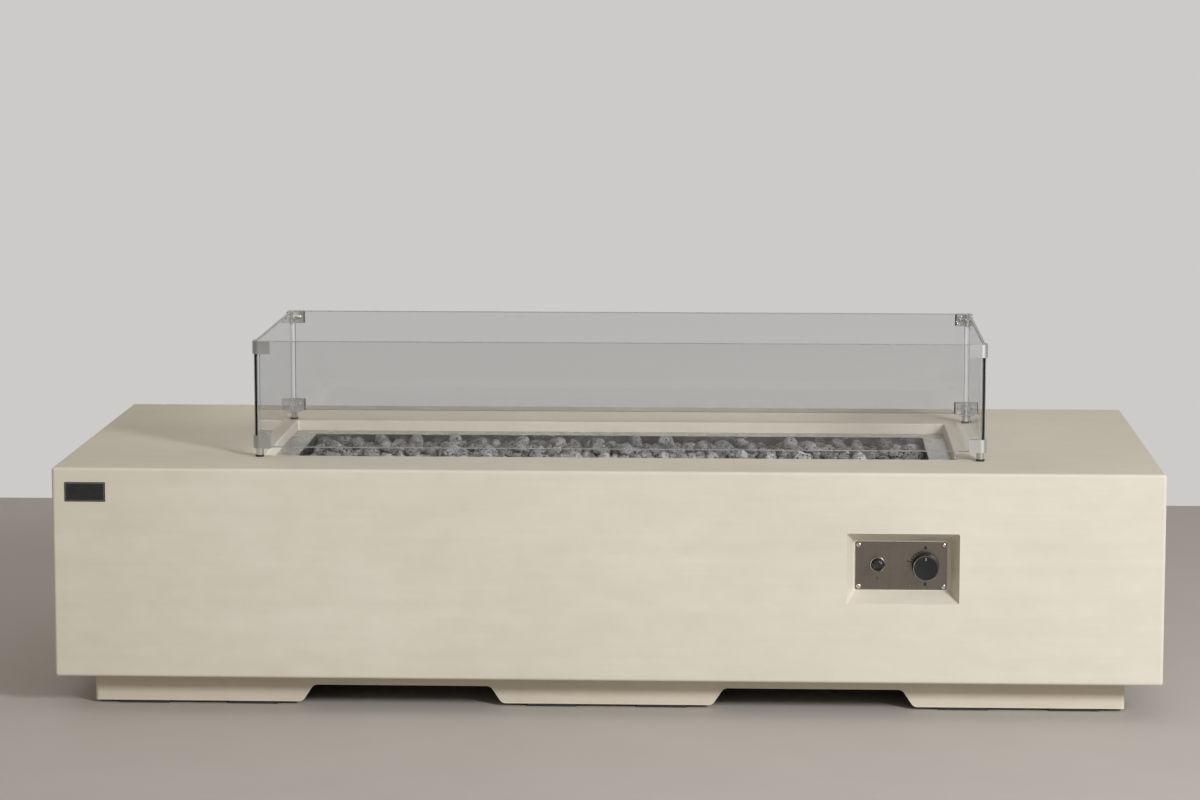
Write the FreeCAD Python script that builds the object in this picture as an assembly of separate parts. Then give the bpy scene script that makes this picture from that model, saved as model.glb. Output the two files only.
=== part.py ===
import FreeCAD, Part
import itertools
import math
import os
import random

# Fire pit table: a hollow cast concrete body on a plinth, with a gas burner pan
# under lava rock in its top, a loose glass guard and a control recess in front.
# Millimetres. X runs along the table, Y from its front to its back, Z up.
# The origin is on the floor, under the middle of the body.

# Concrete body
TABLE_LENGTH = 1800.0
TABLE_DEPTH = 780.0
TABLE_HEIGHT = 400.0
BODY_WALL = 25.0
TOP_THICKNESS = 25.0
BODY_EDGE_RADIUS = 5.0
LIP_THICKNESS = 25.0
LIP_WIDTH = 120.0

# Plinth under the body, with two notches in its front and two in its back
PLINTH_HEIGHT = 50.0
PLINTH_INSET = 55.5
PLINTH_WALL = 25.0
PLINTH_CORNER_RADIUS = 6.0
NOTCH_SPACING = 674.0
NOTCH_FOOT_LENGTH = 329.0
NOTCH_TOP_LENGTH = 291.0
NOTCH_HEIGHT = 28.5
NOTCH_ROUNDING = 12.0
SIDE_BOLT_SPACING = 300.0

# Rubber pads under the plinth
PAD_LENGTH = 80.0
PAD_WIDTH = 20.0
PAD_HEIGHT = 5.0
PAD_FROM_BOLT = 90.0

# Bolts that hold the plinth, and their sockets in the body
BOLT_RADIUS = 4.0
BOLT_HEAD_RADIUS = 6.5
BOLT_HEAD_HEIGHT = 8.0
BOLT_KEY_WIDTH = 6.0
BOLT_KEY_DEPTH = 4.0
BOLT_COUNTERBORE_RADIUS = 8.0
BOLT_COUNTERBORE_DEPTH = 12.0
BOLT_HOLE_CLEARANCE = 0.5
SOCKET_RADIUS = 7.0
SOCKET_LENGTH = 20.0
SOCKET_END_GAP = 3.0

# Opening in the top, set a little toward the front
OPENING_LENGTH = 1142.0
OPENING_DEPTH = 430.0
OPENING_SHIFT_Y = -25.0
OPENING_CORNER_RADIUS = 4.0
OPENING_LIP_RADIUS = 2.5
LEDGE_WIDTH = 28.0
LEDGE_THICKNESS = 35.0
LEDGE_BACKING = 25.0

# Burner pan
FLANGE_BELOW_TOP = 18.0
FLANGE_SIDE_WIDTH = 39.0
FLANGE_FRONT_WIDTH = 48.0
FLANGE_CLEARANCE = 1.0
PAN_SHEET = 1.5
PAN_DEPTH = 75.0
PAN_CORNER_RADIUS = 6.0

# Burner: two long tubes, a cross tube and a feed that goes down through the pan
BURNER_TUBE_RADIUS = 11.0
BURNER_TUBE_WALL = 1.2
BURNER_TUBE_LENGTH = 860.0
BURNER_TUBE_SPACING = 140.0
BURNER_ABOVE_PAN = 6.0
BURNER_FEED_BELOW_PAN = 22.0
JET_RADIUS = 1.5
JET_PITCH = 40.0
JET_END_GAP = 30.0
STAND_LENGTH = 36.0
STAND_DEPTH = 26.0
STAND_SPACING = 700.0
STAND_SCREW_SPACING = 22.0
STAND_SCREW_RADIUS = 2.5
STAND_SCREW_GRIP = 4.5
STAND_SCREW_HEAD_RADIUS = 4.5
STAND_SCREW_HEAD_HEIGHT = 3.0

# Perforated grate over the burner, and the posts that carry it
GRATE_SHEET = 1.5
GRATE_GAP = 2.0
GRATE_ABOVE_BURNER = 13.5
GRATE_SLOT_LENGTH = 30.0
GRATE_SLOT_WIDTH = 3.5
GRATE_COLUMNS = 20
GRATE_ROWS = 6
POST_RADIUS = 4.0
POST_COLUMNS = 4
POST_MARGIN_X = 70.0
POST_MARGIN_Y = 26.0

# Lava rock: a layer on the grate in staggered rows, and loose stones on top of it
ROCK_COLUMNS = 32
ROCK_ROWS = 11
ROCK_HEIGHT_SHARE = 0.82
ROCK_ROUGHNESS = 0.16
ROCK_SMALLEST_SHARE = 0.82
ROCK_GROUPS = 4
ROCK_SEAT_GAP = 0.1
ROCK_WALL_GAP = 1.5
TOP_ROCKS = 64
TOP_ROCK_SMALLEST_SHARE = 0.68
TOP_ROCK_LARGEST_SHARE = 0.86
TOP_ROCK_SPACING = 40.0

# Gas way from the injector to the burner
ELBOW_RADIUS = 15.0
ELBOW_LENGTH = 38.0
ELBOW_DROP = 15.0
ELBOW_BORE_RADIUS = 9.0
SOCKET_DEPTH = 14.0
MIXER_RADIUS = 11.0
MIXER_WALL = 2.0
MIXER_LENGTH = 80.0
AIR_HOLE_RADIUS = 4.0
AIR_HOLE_FROM_END = 24.0
INJECTOR_HEX = 22.0
INJECTOR_HEX_LENGTH = 12.0
INJECTOR_NOSE_LENGTH = 10.0
INJECTOR_NOSE_GAP = 0.2
INJECTOR_BORE_RADIUS = 0.8
GAS_THREAD_RADIUS = 8.0
GAS_THREAD_LENGTH = 12.0
GAS_BORE_RADIUS = 4.0
UNION_NUT_HEX = 24.0
UNION_NUT_LENGTH = 20.0
HOSE_RADIUS = 7.0
HOSE_BORE_RADIUS = 5.0
PIPE_RADIUS = 5.0
PIPE_BORE_RADIUS = 4.0

# Gas inlet: a fitting that stands in the lip of the body, inside the back of the plinth
INLET_X = 440.0
INLET_FROM_PLINTH = 21.5
INLET_STUB_LENGTH = 20.0
INLET_HEX_HEIGHT = 5.0
INLET_NUT_HEIGHT = 6.0
INLET_HOLE_CLEARANCE = 0.3
INLET_THREAD_ABOVE_NUT = 16.0

# Control recess in the front, its flare and its floor
CONTROL_FROM_RIGHT = 422.0
CONTROL_HEIGHT = 243.5
RECESS_SHIFT_X = 1.5
RECESS_LENGTH = 182.5
RECESS_HEIGHT = 115.0
RECESS_FLOOR_LENGTH = 157.0
RECESS_FLOOR_HEIGHT = 82.0
RECESS_DEPTH = 34.0
RECESS_CORNER_RADIUS = 4.0
RECESS_SURROUND = 22.0
RECESS_BACKING = 16.0
HATCH_LENGTH = 114.0
HATCH_HEIGHT = 48.0

# Control plate and its screws
PLATE_LENGTH = 148.0
PLATE_HEIGHT = 78.5
PLATE_THICKNESS = 1.5
PLATE_CORNER_RADIUS = 3.0
SCREW_MARGIN = 5.2
SCREW_RADIUS = 2.0
SCREW_LENGTH = 15.0
SCREW_HEAD_RADIUS = 4.0
SCREW_HEAD_HEIGHT = 2.4
SCREW_HEAD_ROUNDING = 1.4
SCREW_SLOT_WIDTH = 0.8
SCREW_HOLE_CLEARANCE = 0.25
PLUG_RADIUS = 3.5
PLUG_LENGTH = 14.0

# Gas valve, in and behind the plate
VALVE_FROM_PLATE_CENTRE_X = 38.9
VALVE_FROM_PLATE_CENTRE_Z = -0.5
VALVE_WIDTH = 34.0
VALVE_HEIGHT = 40.0
VALVE_LENGTH = 50.0
VALVE_WALL = 6.0
VALVE_BACK_WALL = 12.0
VALVE_CHAMBER_RADIUS = 9.0
VALVE_NECK_RADIUS = 6.0
VALVE_NECK_LENGTH = 6.0
VALVE_NECK_HOLE_CLEARANCE = 0.2
VALVE_NUT_HEX = 17.0
VALVE_NUT_THICKNESS = 3.5
VALVE_OUTLET_RISE = 4.0
VALVE_INLET_FROM_FRONT = 33.0
SENSOR_PORT_DROP = 14.5
SENSOR_PORT_RADIUS = 4.5
SENSOR_PORT_LENGTH = 8.0
STEM_RADIUS = 4.0
STEM_END_FROM_CHAMBER = 12.0
STEM_FLAT_HEIGHT = 3.0
STEM_SHOULDER_RADIUS = 5.5
STEM_SHOULDER_LENGTH = 2.5
STEM_SHOULDER_GAP = 0.5
COLLAR_LENGTH = 4.0
COLLAR_GAP = 0.3
VALVE_SPRING_RADIUS = 7.5
VALVE_SPRING_WALL = 1.6

# Control knob
KNOB_RADIUS = 20.8
KNOB_SKIRT_RADIUS = 22.0
KNOB_SKIRT_THICKNESS = 2.5
KNOB_PROTRUSION = 23.0
KNOB_PLATE_GAP = 4.0
KNOB_CHAMFER = 1.4
KNOB_HOLLOW_RADIUS = 16.0
KNOB_HOLLOW_DEPTH = 9.0
KNOB_FACE_THICKNESS = 3.0
POINTER_LENGTH = 5.0
POINTER_WIDTH = 1.4
POINTER_DEPTH = 0.6
POINTER_FROM_RIM = 3.2

# Push-button igniter
IGNITER_FROM_PLATE_CENTRE_X = -38.3
IGNITER_FROM_PLATE_CENTRE_Z = 2.0
IGNITER_RADIUS = 10.75
IGNITER_BORE_RADIUS = 9.5
IGNITER_HOLE_CLEARANCE = 0.25
BEZEL_RADIUS = 12.5
BEZEL_HEIGHT = 4.5
BEZEL_LIP = 1.0
IGNITER_NUT_HEX = 27.0
IGNITER_NUT_THICKNESS = 5.0
BUTTON_RADIUS = 8.5
BUTTON_PROTRUSION = 23.0
BUTTON_ROUNDING = 1.0
BUTTON_GAP = 0.3
BUTTON_FLANGE_RADIUS = 9.2
BUTTON_FLANGE_THICKNESS = 2.0
BUTTON_DISH_RADIUS = 30.0
BUTTON_DISH_DEPTH = 0.8
BUTTON_SPRING_RADIUS = 6.0
BUTTON_SPRING_WALL = 1.2
BUTTON_SPRING_LENGTH = 18.0
BATTERY_RADIUS = 7.25
BATTERY_LENGTH = 50.0
BATTERY_GAP = 0.25
BATTERY_NIP_RADIUS = 2.75
BATTERY_NIP_HEIGHT = 1.0
MODULE_RADIUS = 9.2
MODULE_LENGTH = 30.0
MODULE_GAP = 0.2
HOUSING_WEB = 2.0
CONTACT_RADIUS = 2.3
TERMINAL_RADIUS = 2.5
TERMINAL_LENGTH = 6.0

# Spark electrode and flame sensor beside the burner
PILOT_X = 150.0
PILOT_SPACING = 28.0
PILOT_FROM_BURNER = 23.0
PILOT_BRACKET_LENGTH = 60.0
PILOT_BRACKET_DEPTH = 20.0
PILOT_BRACKET_THICKNESS = 2.0
PILOT_COLLAR_HEIGHT = 6.0
PILOT_COLLAR_WALL = 1.5
PILOT_BELOW_PAN = 11.0
ELECTRODE_RADIUS = 3.5
ELECTRODE_ABOVE_PAN = 21.0
ELECTRODE_TIP_RADIUS = 1.2
ELECTRODE_TIP_LENGTH = 7.0
SENSOR_RADIUS = 3.0
SENSOR_ABOVE_PAN = 26.0
LEAD_HOLE_CLEARANCE = 1.5
SPARK_WIRE_RADIUS = 2.0
SENSOR_LEAD_RADIUS = 1.5

# Straight runs at the ends of the hose and the leads, and how far the leads hang between them
HOSE_RUN_OUT = 110.0
HOSE_RUN_IN = 110.0
SPARK_WIRE_RUN_OUT = 34.0
SPARK_WIRE_RUN_IN = 42.0
SPARK_WIRE_HANG = 50.0
SENSOR_LEAD_RUN_OUT = 70.0
SENSOR_LEAD_RUN_IN = 30.0
SENSOR_LEAD_HANG = 30.0
BEND_SHARE_OF_RUN = 0.45

# Glass guard that stands loose round the opening
GUARD_SHIFT_X = 15.5
GUARD_MARGIN_X = 30.5
GUARD_MARGIN_Y = 20.0
GLASS_THICKNESS = 6.0
GLASS_HEIGHT = 177.0
LONG_GLASS_FROM_CORNER = 9.0
END_GLASS_FROM_CORNER = 5.0
CLAMP_LENGTH = 27.0
CLAMP_HEIGHT = 21.5
CLAMP_THICKNESS = 2.2
CLAMP_BASE = 1.5
CLAMP_BASE_LENGTH = 20.0
CLAMP_BEND_RADIUS = 10.0
CLAMP_BACK_LENGTH = 19.0
CLAMP_BACK_THICKNESS = 2.0
GASKET_THICKNESS = 0.5
CLAMP_SCREW_FROM_CORNER = 18.0
CLAMP_SCREW_RADIUS = 2.0
CLAMP_SCREW_HEAD_RADIUS = 3.9
CLAMP_SCREW_HEAD_HEIGHT = 2.4
CLAMP_SCREW_GRIP = 1.6
GLASS_HOLE_RADIUS = 3.0
LEG_FROM_CORNER = 7.5
LEG_RADIUS = 6.25
LEG_HEIGHT = 11.0
LEG_STUD_RADIUS = 2.5
FOOT_PAD_RADIUS = 7.0
FOOT_PAD_HEIGHT = 3.5
FOOT_PLUG_RADIUS = 3.0
FOOT_PLUG_HEIGHT = 3.0

# Badge plate, bare, let into the front at the left
BADGE_FROM_LEFT = 54.3
BADGE_BELOW_TOP = 39.5
BADGE_LENGTH = 66.0
BADGE_HEIGHT = 31.5
BADGE_THICKNESS = 2.0
BADGE_POCKET_DEPTH = 1.0
BADGE_CORNER_RADIUS = 1.0
BADGE_STUD_SPACING = 44.0
BADGE_STUD_RADIUS = 2.0
BADGE_STUD_LENGTH = 10.0

# Fits, and how far a cutting shape runs past the faces that it cuts
CLOSE_FIT = 0.05
PAST = 1.0
LEVEL_TOLERANCE = 0.01
PARALLEL_TOLERANCE = 1e-6

ALONG_X = FreeCAD.Vector(1, 0, 0)
ALONG_Y = FreeCAD.Vector(0, 1, 0)
UP = FreeCAD.Vector(0, 0, 1)
DOWN = FreeCAD.Vector(0, 0, -1)

# Levels and faces worked out from the sizes above
END_X = TABLE_LENGTH / 2
BACK_Y = TABLE_DEPTH / 2
FRONT_Y = -TABLE_DEPTH / 2
BODY_BOTTOM = PAD_HEIGHT + PLINTH_HEIGHT
LIP_TOP = BODY_BOTTOM + LIP_THICKNESS
PLINTH_X = END_X - PLINTH_INSET
PLINTH_Y = BACK_Y - PLINTH_INSET
PLINTH_MID_X = PLINTH_X - PLINTH_WALL / 2
PLINTH_MID_Y = PLINTH_Y - PLINTH_WALL / 2
FLANGE_TOP = TABLE_HEIGHT - FLANGE_BELOW_TOP
LEDGE_TOP = FLANGE_TOP - PAN_SHEET
PAN_LENGTH = OPENING_LENGTH - 2 * FLANGE_SIDE_WIDTH
PAN_WIDTH = OPENING_DEPTH - 2 * FLANGE_FRONT_WIDTH
PAN_BOTTOM = FLANGE_TOP - PAN_DEPTH
PAN_FLOOR = PAN_BOTTOM + PAN_SHEET
BURNER_Z = PAN_FLOOR + BURNER_ABOVE_PAN + BURNER_TUBE_RADIUS
BURNER_ROWS_Y = [OPENING_SHIFT_Y + side * BURNER_TUBE_SPACING / 2 for side in (-1, 1)]
GRATE_BOTTOM = BURNER_Z + BURNER_TUBE_RADIUS + GRATE_ABOVE_BURNER
GRATE_TOP = GRATE_BOTTOM + GRATE_SHEET
MIXER_Z = PAN_BOTTOM - BURNER_FEED_BELOW_PAN - ELBOW_DROP
MIXER_START = ELBOW_LENGTH - SOCKET_DEPTH
MIXER_END = MIXER_START + MIXER_LENGTH
INJECTOR_END = MIXER_END + INJECTOR_HEX_LENGTH + GAS_THREAD_LENGTH

PLATE_X = END_X - CONTROL_FROM_RIGHT
PLATE_BACK = FRONT_Y + RECESS_DEPTH
PLATE_FRONT = PLATE_BACK - PLATE_THICKNESS
VALVE_X = PLATE_X + VALVE_FROM_PLATE_CENTRE_X
VALVE_Z = CONTROL_HEIGHT + VALVE_FROM_PLATE_CENTRE_Z
VALVE_REAR = PLATE_BACK + VALVE_LENGTH
CHAMBER_FRONT = PLATE_BACK + VALVE_WALL
CHAMBER_REAR = VALVE_REAR - VALVE_BACK_WALL
STEM_SHOULDER_FRONT = CHAMBER_FRONT + STEM_SHOULDER_GAP
COLLAR_FRONT = STEM_SHOULDER_FRONT + STEM_SHOULDER_LENGTH
COLLAR_REAR = COLLAR_FRONT + COLLAR_LENGTH
KNOB_FACE = PLATE_FRONT - KNOB_PROTRUSION
KNOB_REAR = PLATE_FRONT - KNOB_PLATE_GAP
STEM_FRONT = KNOB_FACE + KNOB_FACE_THICKNESS
IGNITER_X = PLATE_X + IGNITER_FROM_PLATE_CENTRE_X
IGNITER_Z = CONTROL_HEIGHT + IGNITER_FROM_PLATE_CENTRE_Z
BEZEL_FRONT = PLATE_FRONT - BEZEL_HEIGHT
HOUSING_FRONT = BEZEL_FRONT + BEZEL_LIP
BUTTON_FACE = PLATE_FRONT - BUTTON_PROTRUSION
BUTTON_REAR = HOUSING_FRONT + BUTTON_GAP + BUTTON_FLANGE_THICKNESS
BATTERY_FRONT = BUTTON_REAR + BUTTON_SPRING_LENGTH
BATTERY_REAR = BATTERY_FRONT + BATTERY_LENGTH
MODULE_FRONT = BATTERY_REAR + HOUSING_WEB
MODULE_REAR = MODULE_FRONT + MODULE_LENGTH

INLET_Y = PLINTH_Y - PLINTH_WALL - INLET_FROM_PLINTH
INLET_NUT_TOP = LIP_TOP + INLET_NUT_HEIGHT
INLET_TOP = INLET_NUT_TOP + INLET_THREAD_ABOVE_NUT
VALVE_INLET_Y = PLATE_BACK + VALVE_INLET_FROM_FRONT
VALVE_INLET_Z = VALVE_Z - VALVE_HEIGHT / 2 - GAS_THREAD_LENGTH
VALVE_OUTLET_Y = VALVE_REAR + GAS_THREAD_LENGTH
VALVE_OUTLET_Z = VALVE_Z + VALVE_OUTLET_RISE
SENSOR_PORT_Z = VALVE_Z - SENSOR_PORT_DROP
PILOT_Y = BURNER_ROWS_Y[0] + PILOT_FROM_BURNER
ELECTRODE_X = PILOT_X - PILOT_SPACING / 2
SENSOR_X = PILOT_X + PILOT_SPACING / 2
PILOT_BOTTOM = PAN_BOTTOM - PILOT_BELOW_PAN

GUARD_X = GUARD_SHIFT_X
GUARD_Y = OPENING_SHIFT_Y
GUARD_HALF_LENGTH = OPENING_LENGTH / 2 + GUARD_MARGIN_X
GUARD_HALF_DEPTH = OPENING_DEPTH / 2 + GUARD_MARGIN_Y
CLAMP_BASE_BOTTOM = TABLE_HEIGHT + FOOT_PAD_HEIGHT + LEG_HEIGHT
GLASS_BOTTOM = CLAMP_BASE_BOTTOM + CLAMP_BASE
GLASS_TOP = GLASS_BOTTOM + GLASS_HEIGHT
LOWER_SCREW_Z = GLASS_BOTTOM + (CLAMP_HEIGHT - CLAMP_BASE) / 2
UPPER_SCREW_Z = GLASS_TOP - CLAMP_HEIGHT / 2
GLASS_INNER = GLASS_THICKNESS + GASKET_THICKNESS


def point(x, y, z):
    return FreeCAD.Vector(x, y, z)


def box(x0, x1, y0, y1, z0, z1):
    """A block between two opposite corners."""
    return Part.makeBox(x1 - x0, y1 - y0, z1 - z0, point(x0, y0, z0))


def slab(x, y, length, depth, z0, z1):
    """A block centred on x and y."""
    return box(x - length / 2, x + length / 2, y - depth / 2, y + depth / 2, z0, z1)


def panel(x, z, length, height, y0, y1):
    """A block centred on x and z, for what lies in the front face."""
    return box(x - length / 2, x + length / 2, y0, y1, z - height / 2, z + height / 2)


def rod(radius, start, axis, length):
    return Part.makeCylinder(radius, length, start, axis)


def ring(outer, inner, start, axis, length):
    return rod(outer, start, axis, length).cut(rod(inner, start, axis, length))


def hexagon(across_flats, start, axis, length):
    """A six-sided bar that starts at a point and runs along an axis."""
    reach = across_flats / math.sqrt(3)
    turns = [math.radians(60 * step) for step in range(7)]
    outline = [point(reach * math.cos(turn), reach * math.sin(turn), 0) for turn in turns]
    bar = Part.Face(Part.makePolygon(outline)).extrude(point(0, 0, length))
    bar.Placement = FreeCAD.Placement(start, FreeCAD.Rotation(UP, axis))
    return bar


def edges_along(shape, axis):
    """The straight edges of a shape that run along an axis."""
    straight = [edge for edge in shape.Edges if edge.Curve.TypeId == "Part::GeomLine"]
    return [edge for edge in straight
            if edge.tangentAt(edge.FirstParameter).cross(axis).Length < PARALLEL_TOLERANCE]


def rounded(shape, axis, radius):
    """A block with its edges along one axis rounded."""
    return shape.makeFillet(radius, edges_along(shape, axis))


def group(solids):
    """Separate solids that share one node."""
    return Part.makeCompound(list(solids))


def route(points):
    """Straight runs joined by arcs, each as large as the two runs beside it allow."""
    edges = []
    radii = []
    here = points[0]
    for before, corner, after in zip(points, points[1:], points[2:]):
        way_in = corner - before
        way_out = after - corner
        half_turn = way_in.getAngle(way_out) / 2
        setback = BEND_SHARE_OF_RUN * min(way_in.Length, way_out.Length)
        radius = setback / math.tan(half_turn)
        way_in.normalize()
        way_out.normalize()
        toward_centre = way_out - way_in
        toward_centre.normalize()
        centre = corner + toward_centre * (radius / math.cos(half_turn))
        start = corner - way_in * setback
        end = corner + way_out * setback
        edges.append(Part.makeLine(here, start))
        edges.append(Part.Arc(start, centre - toward_centre * radius, end).toShape())
        radii.append(radius)
        here = end
    edges.append(Part.makeLine(here, points[-1]))
    return Part.Wire(edges), radii


def lead(name, points, radius):
    """A round lead along a route. Prints its bends, and its volume against its length."""
    path, radii = route(points)
    section = Part.Wire([Part.makeCircle(radius, points[0], points[1] - points[0])])
    solid = path.makePipeShell([section], True, False)
    share = solid.Volume / (math.pi * radius ** 2 * path.Length)
    bends = " ".join(f"{bend:.0f}" for bend in radii)
    print(f"{name}: length {path.Length:.0f}, bend radii {bends}, volume share {share:.4f}")
    return solid


def concrete_body():
    body = slab(0, 0, TABLE_LENGTH, TABLE_DEPTH, BODY_BOTTOM, TABLE_HEIGHT)
    body = body.makeFillet(BODY_EDGE_RADIUS, body.Edges)
    hollow = slab(0, 0, TABLE_LENGTH - 2 * BODY_WALL, TABLE_DEPTH - 2 * BODY_WALL,
                  LIP_TOP, TABLE_HEIGHT - TOP_THICKNESS)
    underside = slab(0, 0, TABLE_LENGTH - 2 * LIP_WIDTH, TABLE_DEPTH - 2 * LIP_WIDTH,
                     BODY_BOTTOM - PAST, LIP_TOP + PAST)
    body = body.cut([hollow, underside])
    body = body.fuse([pan_ledge(), recess_surround()]).removeSplitter()
    body = body.cut([opening_cut(), control_recess_cut(), badge_cut()] + body_holes())
    return body.makeFillet(OPENING_LIP_RADIUS, opening_edges(body))


def pan_ledge():
    return slab(0, OPENING_SHIFT_Y, OPENING_LENGTH + 2 * LEDGE_BACKING,
                OPENING_DEPTH + 2 * LEDGE_BACKING, LEDGE_TOP - LEDGE_THICKNESS,
                TABLE_HEIGHT - TOP_THICKNESS / 2)


def opening_cut():
    well = slab(0, OPENING_SHIFT_Y, OPENING_LENGTH, OPENING_DEPTH, LEDGE_TOP, TABLE_HEIGHT + PAST)
    well = rounded(well, UP, OPENING_CORNER_RADIUS)
    throat = slab(0, OPENING_SHIFT_Y, OPENING_LENGTH - 2 * LEDGE_WIDTH,
                  OPENING_DEPTH - 2 * LEDGE_WIDTH, LEDGE_TOP - LEDGE_THICKNESS - PAST, LEDGE_TOP + PAST)
    return well.fuse(throat)


def opening_edges(body):
    """The edges round the mouth of the opening, at the level of the top."""
    mouth = []
    for edge in body.Edges:
        bounds = edge.BoundBox
        level = max(abs(bounds.ZMin - TABLE_HEIGHT), abs(bounds.ZMax - TABLE_HEIGHT)) < LEVEL_TOLERANCE
        inside = max(abs(bounds.XMin), abs(bounds.XMax)) < OPENING_LENGTH / 2 + PAST
        if level and inside:
            mouth.append(edge)
    return mouth


def recess_surround():
    return panel(PLATE_X + RECESS_SHIFT_X, CONTROL_HEIGHT, RECESS_LENGTH + 2 * RECESS_SURROUND,
                 RECESS_HEIGHT + 2 * RECESS_SURROUND, FRONT_Y + BODY_WALL / 2,
                 PLATE_BACK + RECESS_BACKING)


def control_recess_cut():
    """The flared recess, from just outside the front face to its floor, and the hatch behind it."""
    middle = PLATE_X + RECESS_SHIFT_X
    flare_x = (RECESS_LENGTH - RECESS_FLOOR_LENGTH) / RECESS_DEPTH
    flare_z = (RECESS_HEIGHT - RECESS_FLOOR_HEIGHT) / RECESS_DEPTH
    mouth_x = (RECESS_LENGTH + flare_x * PAST) / 2
    mouth_z = (RECESS_HEIGHT + flare_z * PAST) / 2
    flare = Part.makeWedge(middle - mouth_x, FRONT_Y - PAST, CONTROL_HEIGHT - mouth_z,
                           CONTROL_HEIGHT - RECESS_FLOOR_HEIGHT / 2, middle - RECESS_FLOOR_LENGTH / 2,
                           middle + mouth_x, PLATE_BACK, CONTROL_HEIGHT + mouth_z,
                           CONTROL_HEIGHT + RECESS_FLOOR_HEIGHT / 2, middle + RECESS_FLOOR_LENGTH / 2)
    corners = [edge for edge in flare.Edges if edge.BoundBox.YLength > RECESS_DEPTH]
    flare = flare.makeFillet(RECESS_CORNER_RADIUS, corners)
    hatch = panel(PLATE_X, CONTROL_HEIGHT, HATCH_LENGTH, HATCH_HEIGHT,
                  PLATE_BACK - PAST, PLATE_BACK + RECESS_BACKING + PAST)
    return flare.fuse(hatch)


def badge_cut():
    x = -END_X + BADGE_FROM_LEFT
    z = TABLE_HEIGHT - BADGE_BELOW_TOP
    pocket = panel(x, z, BADGE_LENGTH + 2 * CLOSE_FIT, BADGE_HEIGHT + 2 * CLOSE_FIT,
                   FRONT_Y - PAST, FRONT_Y + BADGE_POCKET_DEPTH)
    holes = [rod(BADGE_STUD_RADIUS + CLOSE_FIT, stud, ALONG_Y, BADGE_STUD_LENGTH + PAST)
             for stud in badge_studs()]
    return pocket.fuse(holes)


def body_holes():
    """Holes for the plinth sockets, the plate's plugs and the gas inlet."""
    holes = [rod(SOCKET_RADIUS + CLOSE_FIT, point(x, y, BODY_BOTTOM - PAST), UP,
                 SOCKET_LENGTH + CLOSE_FIT + PAST) for x, y in bolt_places()]
    holes += [rod(PLUG_RADIUS + CLOSE_FIT, point(x, PLATE_BACK - PAST, z), ALONG_Y,
                  PLUG_LENGTH + CLOSE_FIT + PAST) for x, z in screw_places()]
    holes.append(rod(GAS_THREAD_RADIUS + INLET_HOLE_CLEARANCE, point(INLET_X, INLET_Y, BODY_BOTTOM - PAST),
                     UP, LIP_THICKNESS + 2 * PAST))
    return holes


def segment_middles():
    """X of the middle of each solid stretch of the plinth's front, between and beside the notches."""
    outer_foot = NOTCH_SPACING / 2 + NOTCH_FOOT_LENGTH / 2
    end = (outer_foot + PLINTH_X) / 2
    return [-end, 0.0, end]


def bolt_places():
    places = [(x, side * PLINTH_MID_Y) for x in segment_middles() for side in (-1, 1)]
    places += [(end * PLINTH_MID_X, side * SIDE_BOLT_SPACING / 2) for end in (-1, 1) for side in (-1, 1)]
    return places


def notch_cut(x, side):
    """One tapered notch, through the front or the back wall of the plinth."""
    foot = NOTCH_FOOT_LENGTH / 2
    top = NOTCH_TOP_LENGTH / 2
    run_out = (foot - top) / NOTCH_HEIGHT * PAST
    y0 = side * PLINTH_MID_Y - PLINTH_WALL / 2 - PAST
    low = PAD_HEIGHT - PAST
    high = PAD_HEIGHT + NOTCH_HEIGHT
    outline = [point(x - foot - run_out, y0, low), point(x + foot + run_out, y0, low),
               point(x + top, y0, high), point(x - top, y0, high), point(x - foot - run_out, y0, low)]
    notch = Part.Face(Part.makePolygon(outline)).extrude(ALONG_Y * (PLINTH_WALL + 2 * PAST))
    upper = [edge for edge in edges_along(notch, ALONG_Y) if edge.BoundBox.ZMin > high - PAST]
    return notch.makeFillet(NOTCH_ROUNDING, upper)


def plinth():
    frame = slab(0, 0, 2 * PLINTH_X, 2 * PLINTH_Y, PAD_HEIGHT, BODY_BOTTOM)
    frame = rounded(frame, UP, PLINTH_CORNER_RADIUS)
    hollow = slab(0, 0, 2 * (PLINTH_X - PLINTH_WALL), 2 * (PLINTH_Y - PLINTH_WALL),
                  PAD_HEIGHT - PAST, BODY_BOTTOM + PAST)
    notches = [notch_cut(end * NOTCH_SPACING / 2, side) for end in (-1, 1) for side in (-1, 1)]
    frame = frame.cut([hollow] + notches)
    low = [edge for edge in edges_along(frame, ALONG_Y) if edge.BoundBox.ZMax < PAD_HEIGHT + LEVEL_TOLERANCE]
    feet = [edge for edge in low if edge.BoundBox.YLength < PLINTH_WALL + PAST]
    frame = frame.makeFillet(NOTCH_ROUNDING, feet)
    return frame.cut([bolt_hole(x, y) for x, y in bolt_places()])


def bolt_hole(x, y):
    below = point(x, y, PAD_HEIGHT - PAST)
    hole = rod(BOLT_RADIUS + BOLT_HOLE_CLEARANCE, below, UP, PLINTH_HEIGHT + 2 * PAST)
    return hole.fuse(rod(BOLT_COUNTERBORE_RADIUS, below, UP, BOLT_COUNTERBORE_DEPTH + PAST))


def plinth_bolt(x, y):
    seat = PAD_HEIGHT + BOLT_COUNTERBORE_DEPTH
    tip = BODY_BOTTOM + SOCKET_LENGTH - SOCKET_END_GAP
    head_bottom = seat - BOLT_HEAD_HEIGHT
    head = rod(BOLT_HEAD_RADIUS, point(x, y, head_bottom), UP, BOLT_HEAD_HEIGHT)
    shank = rod(BOLT_RADIUS, point(x, y, seat - PAST), UP, tip - seat + PAST)
    key = hexagon(BOLT_KEY_WIDTH, point(x, y, head_bottom - PAST), UP, BOLT_KEY_DEPTH + PAST)
    return head.fuse(shank).removeSplitter().cut(key)


def plinth_bolts():
    return group(plinth_bolt(x, y) for x, y in bolt_places())


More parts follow.
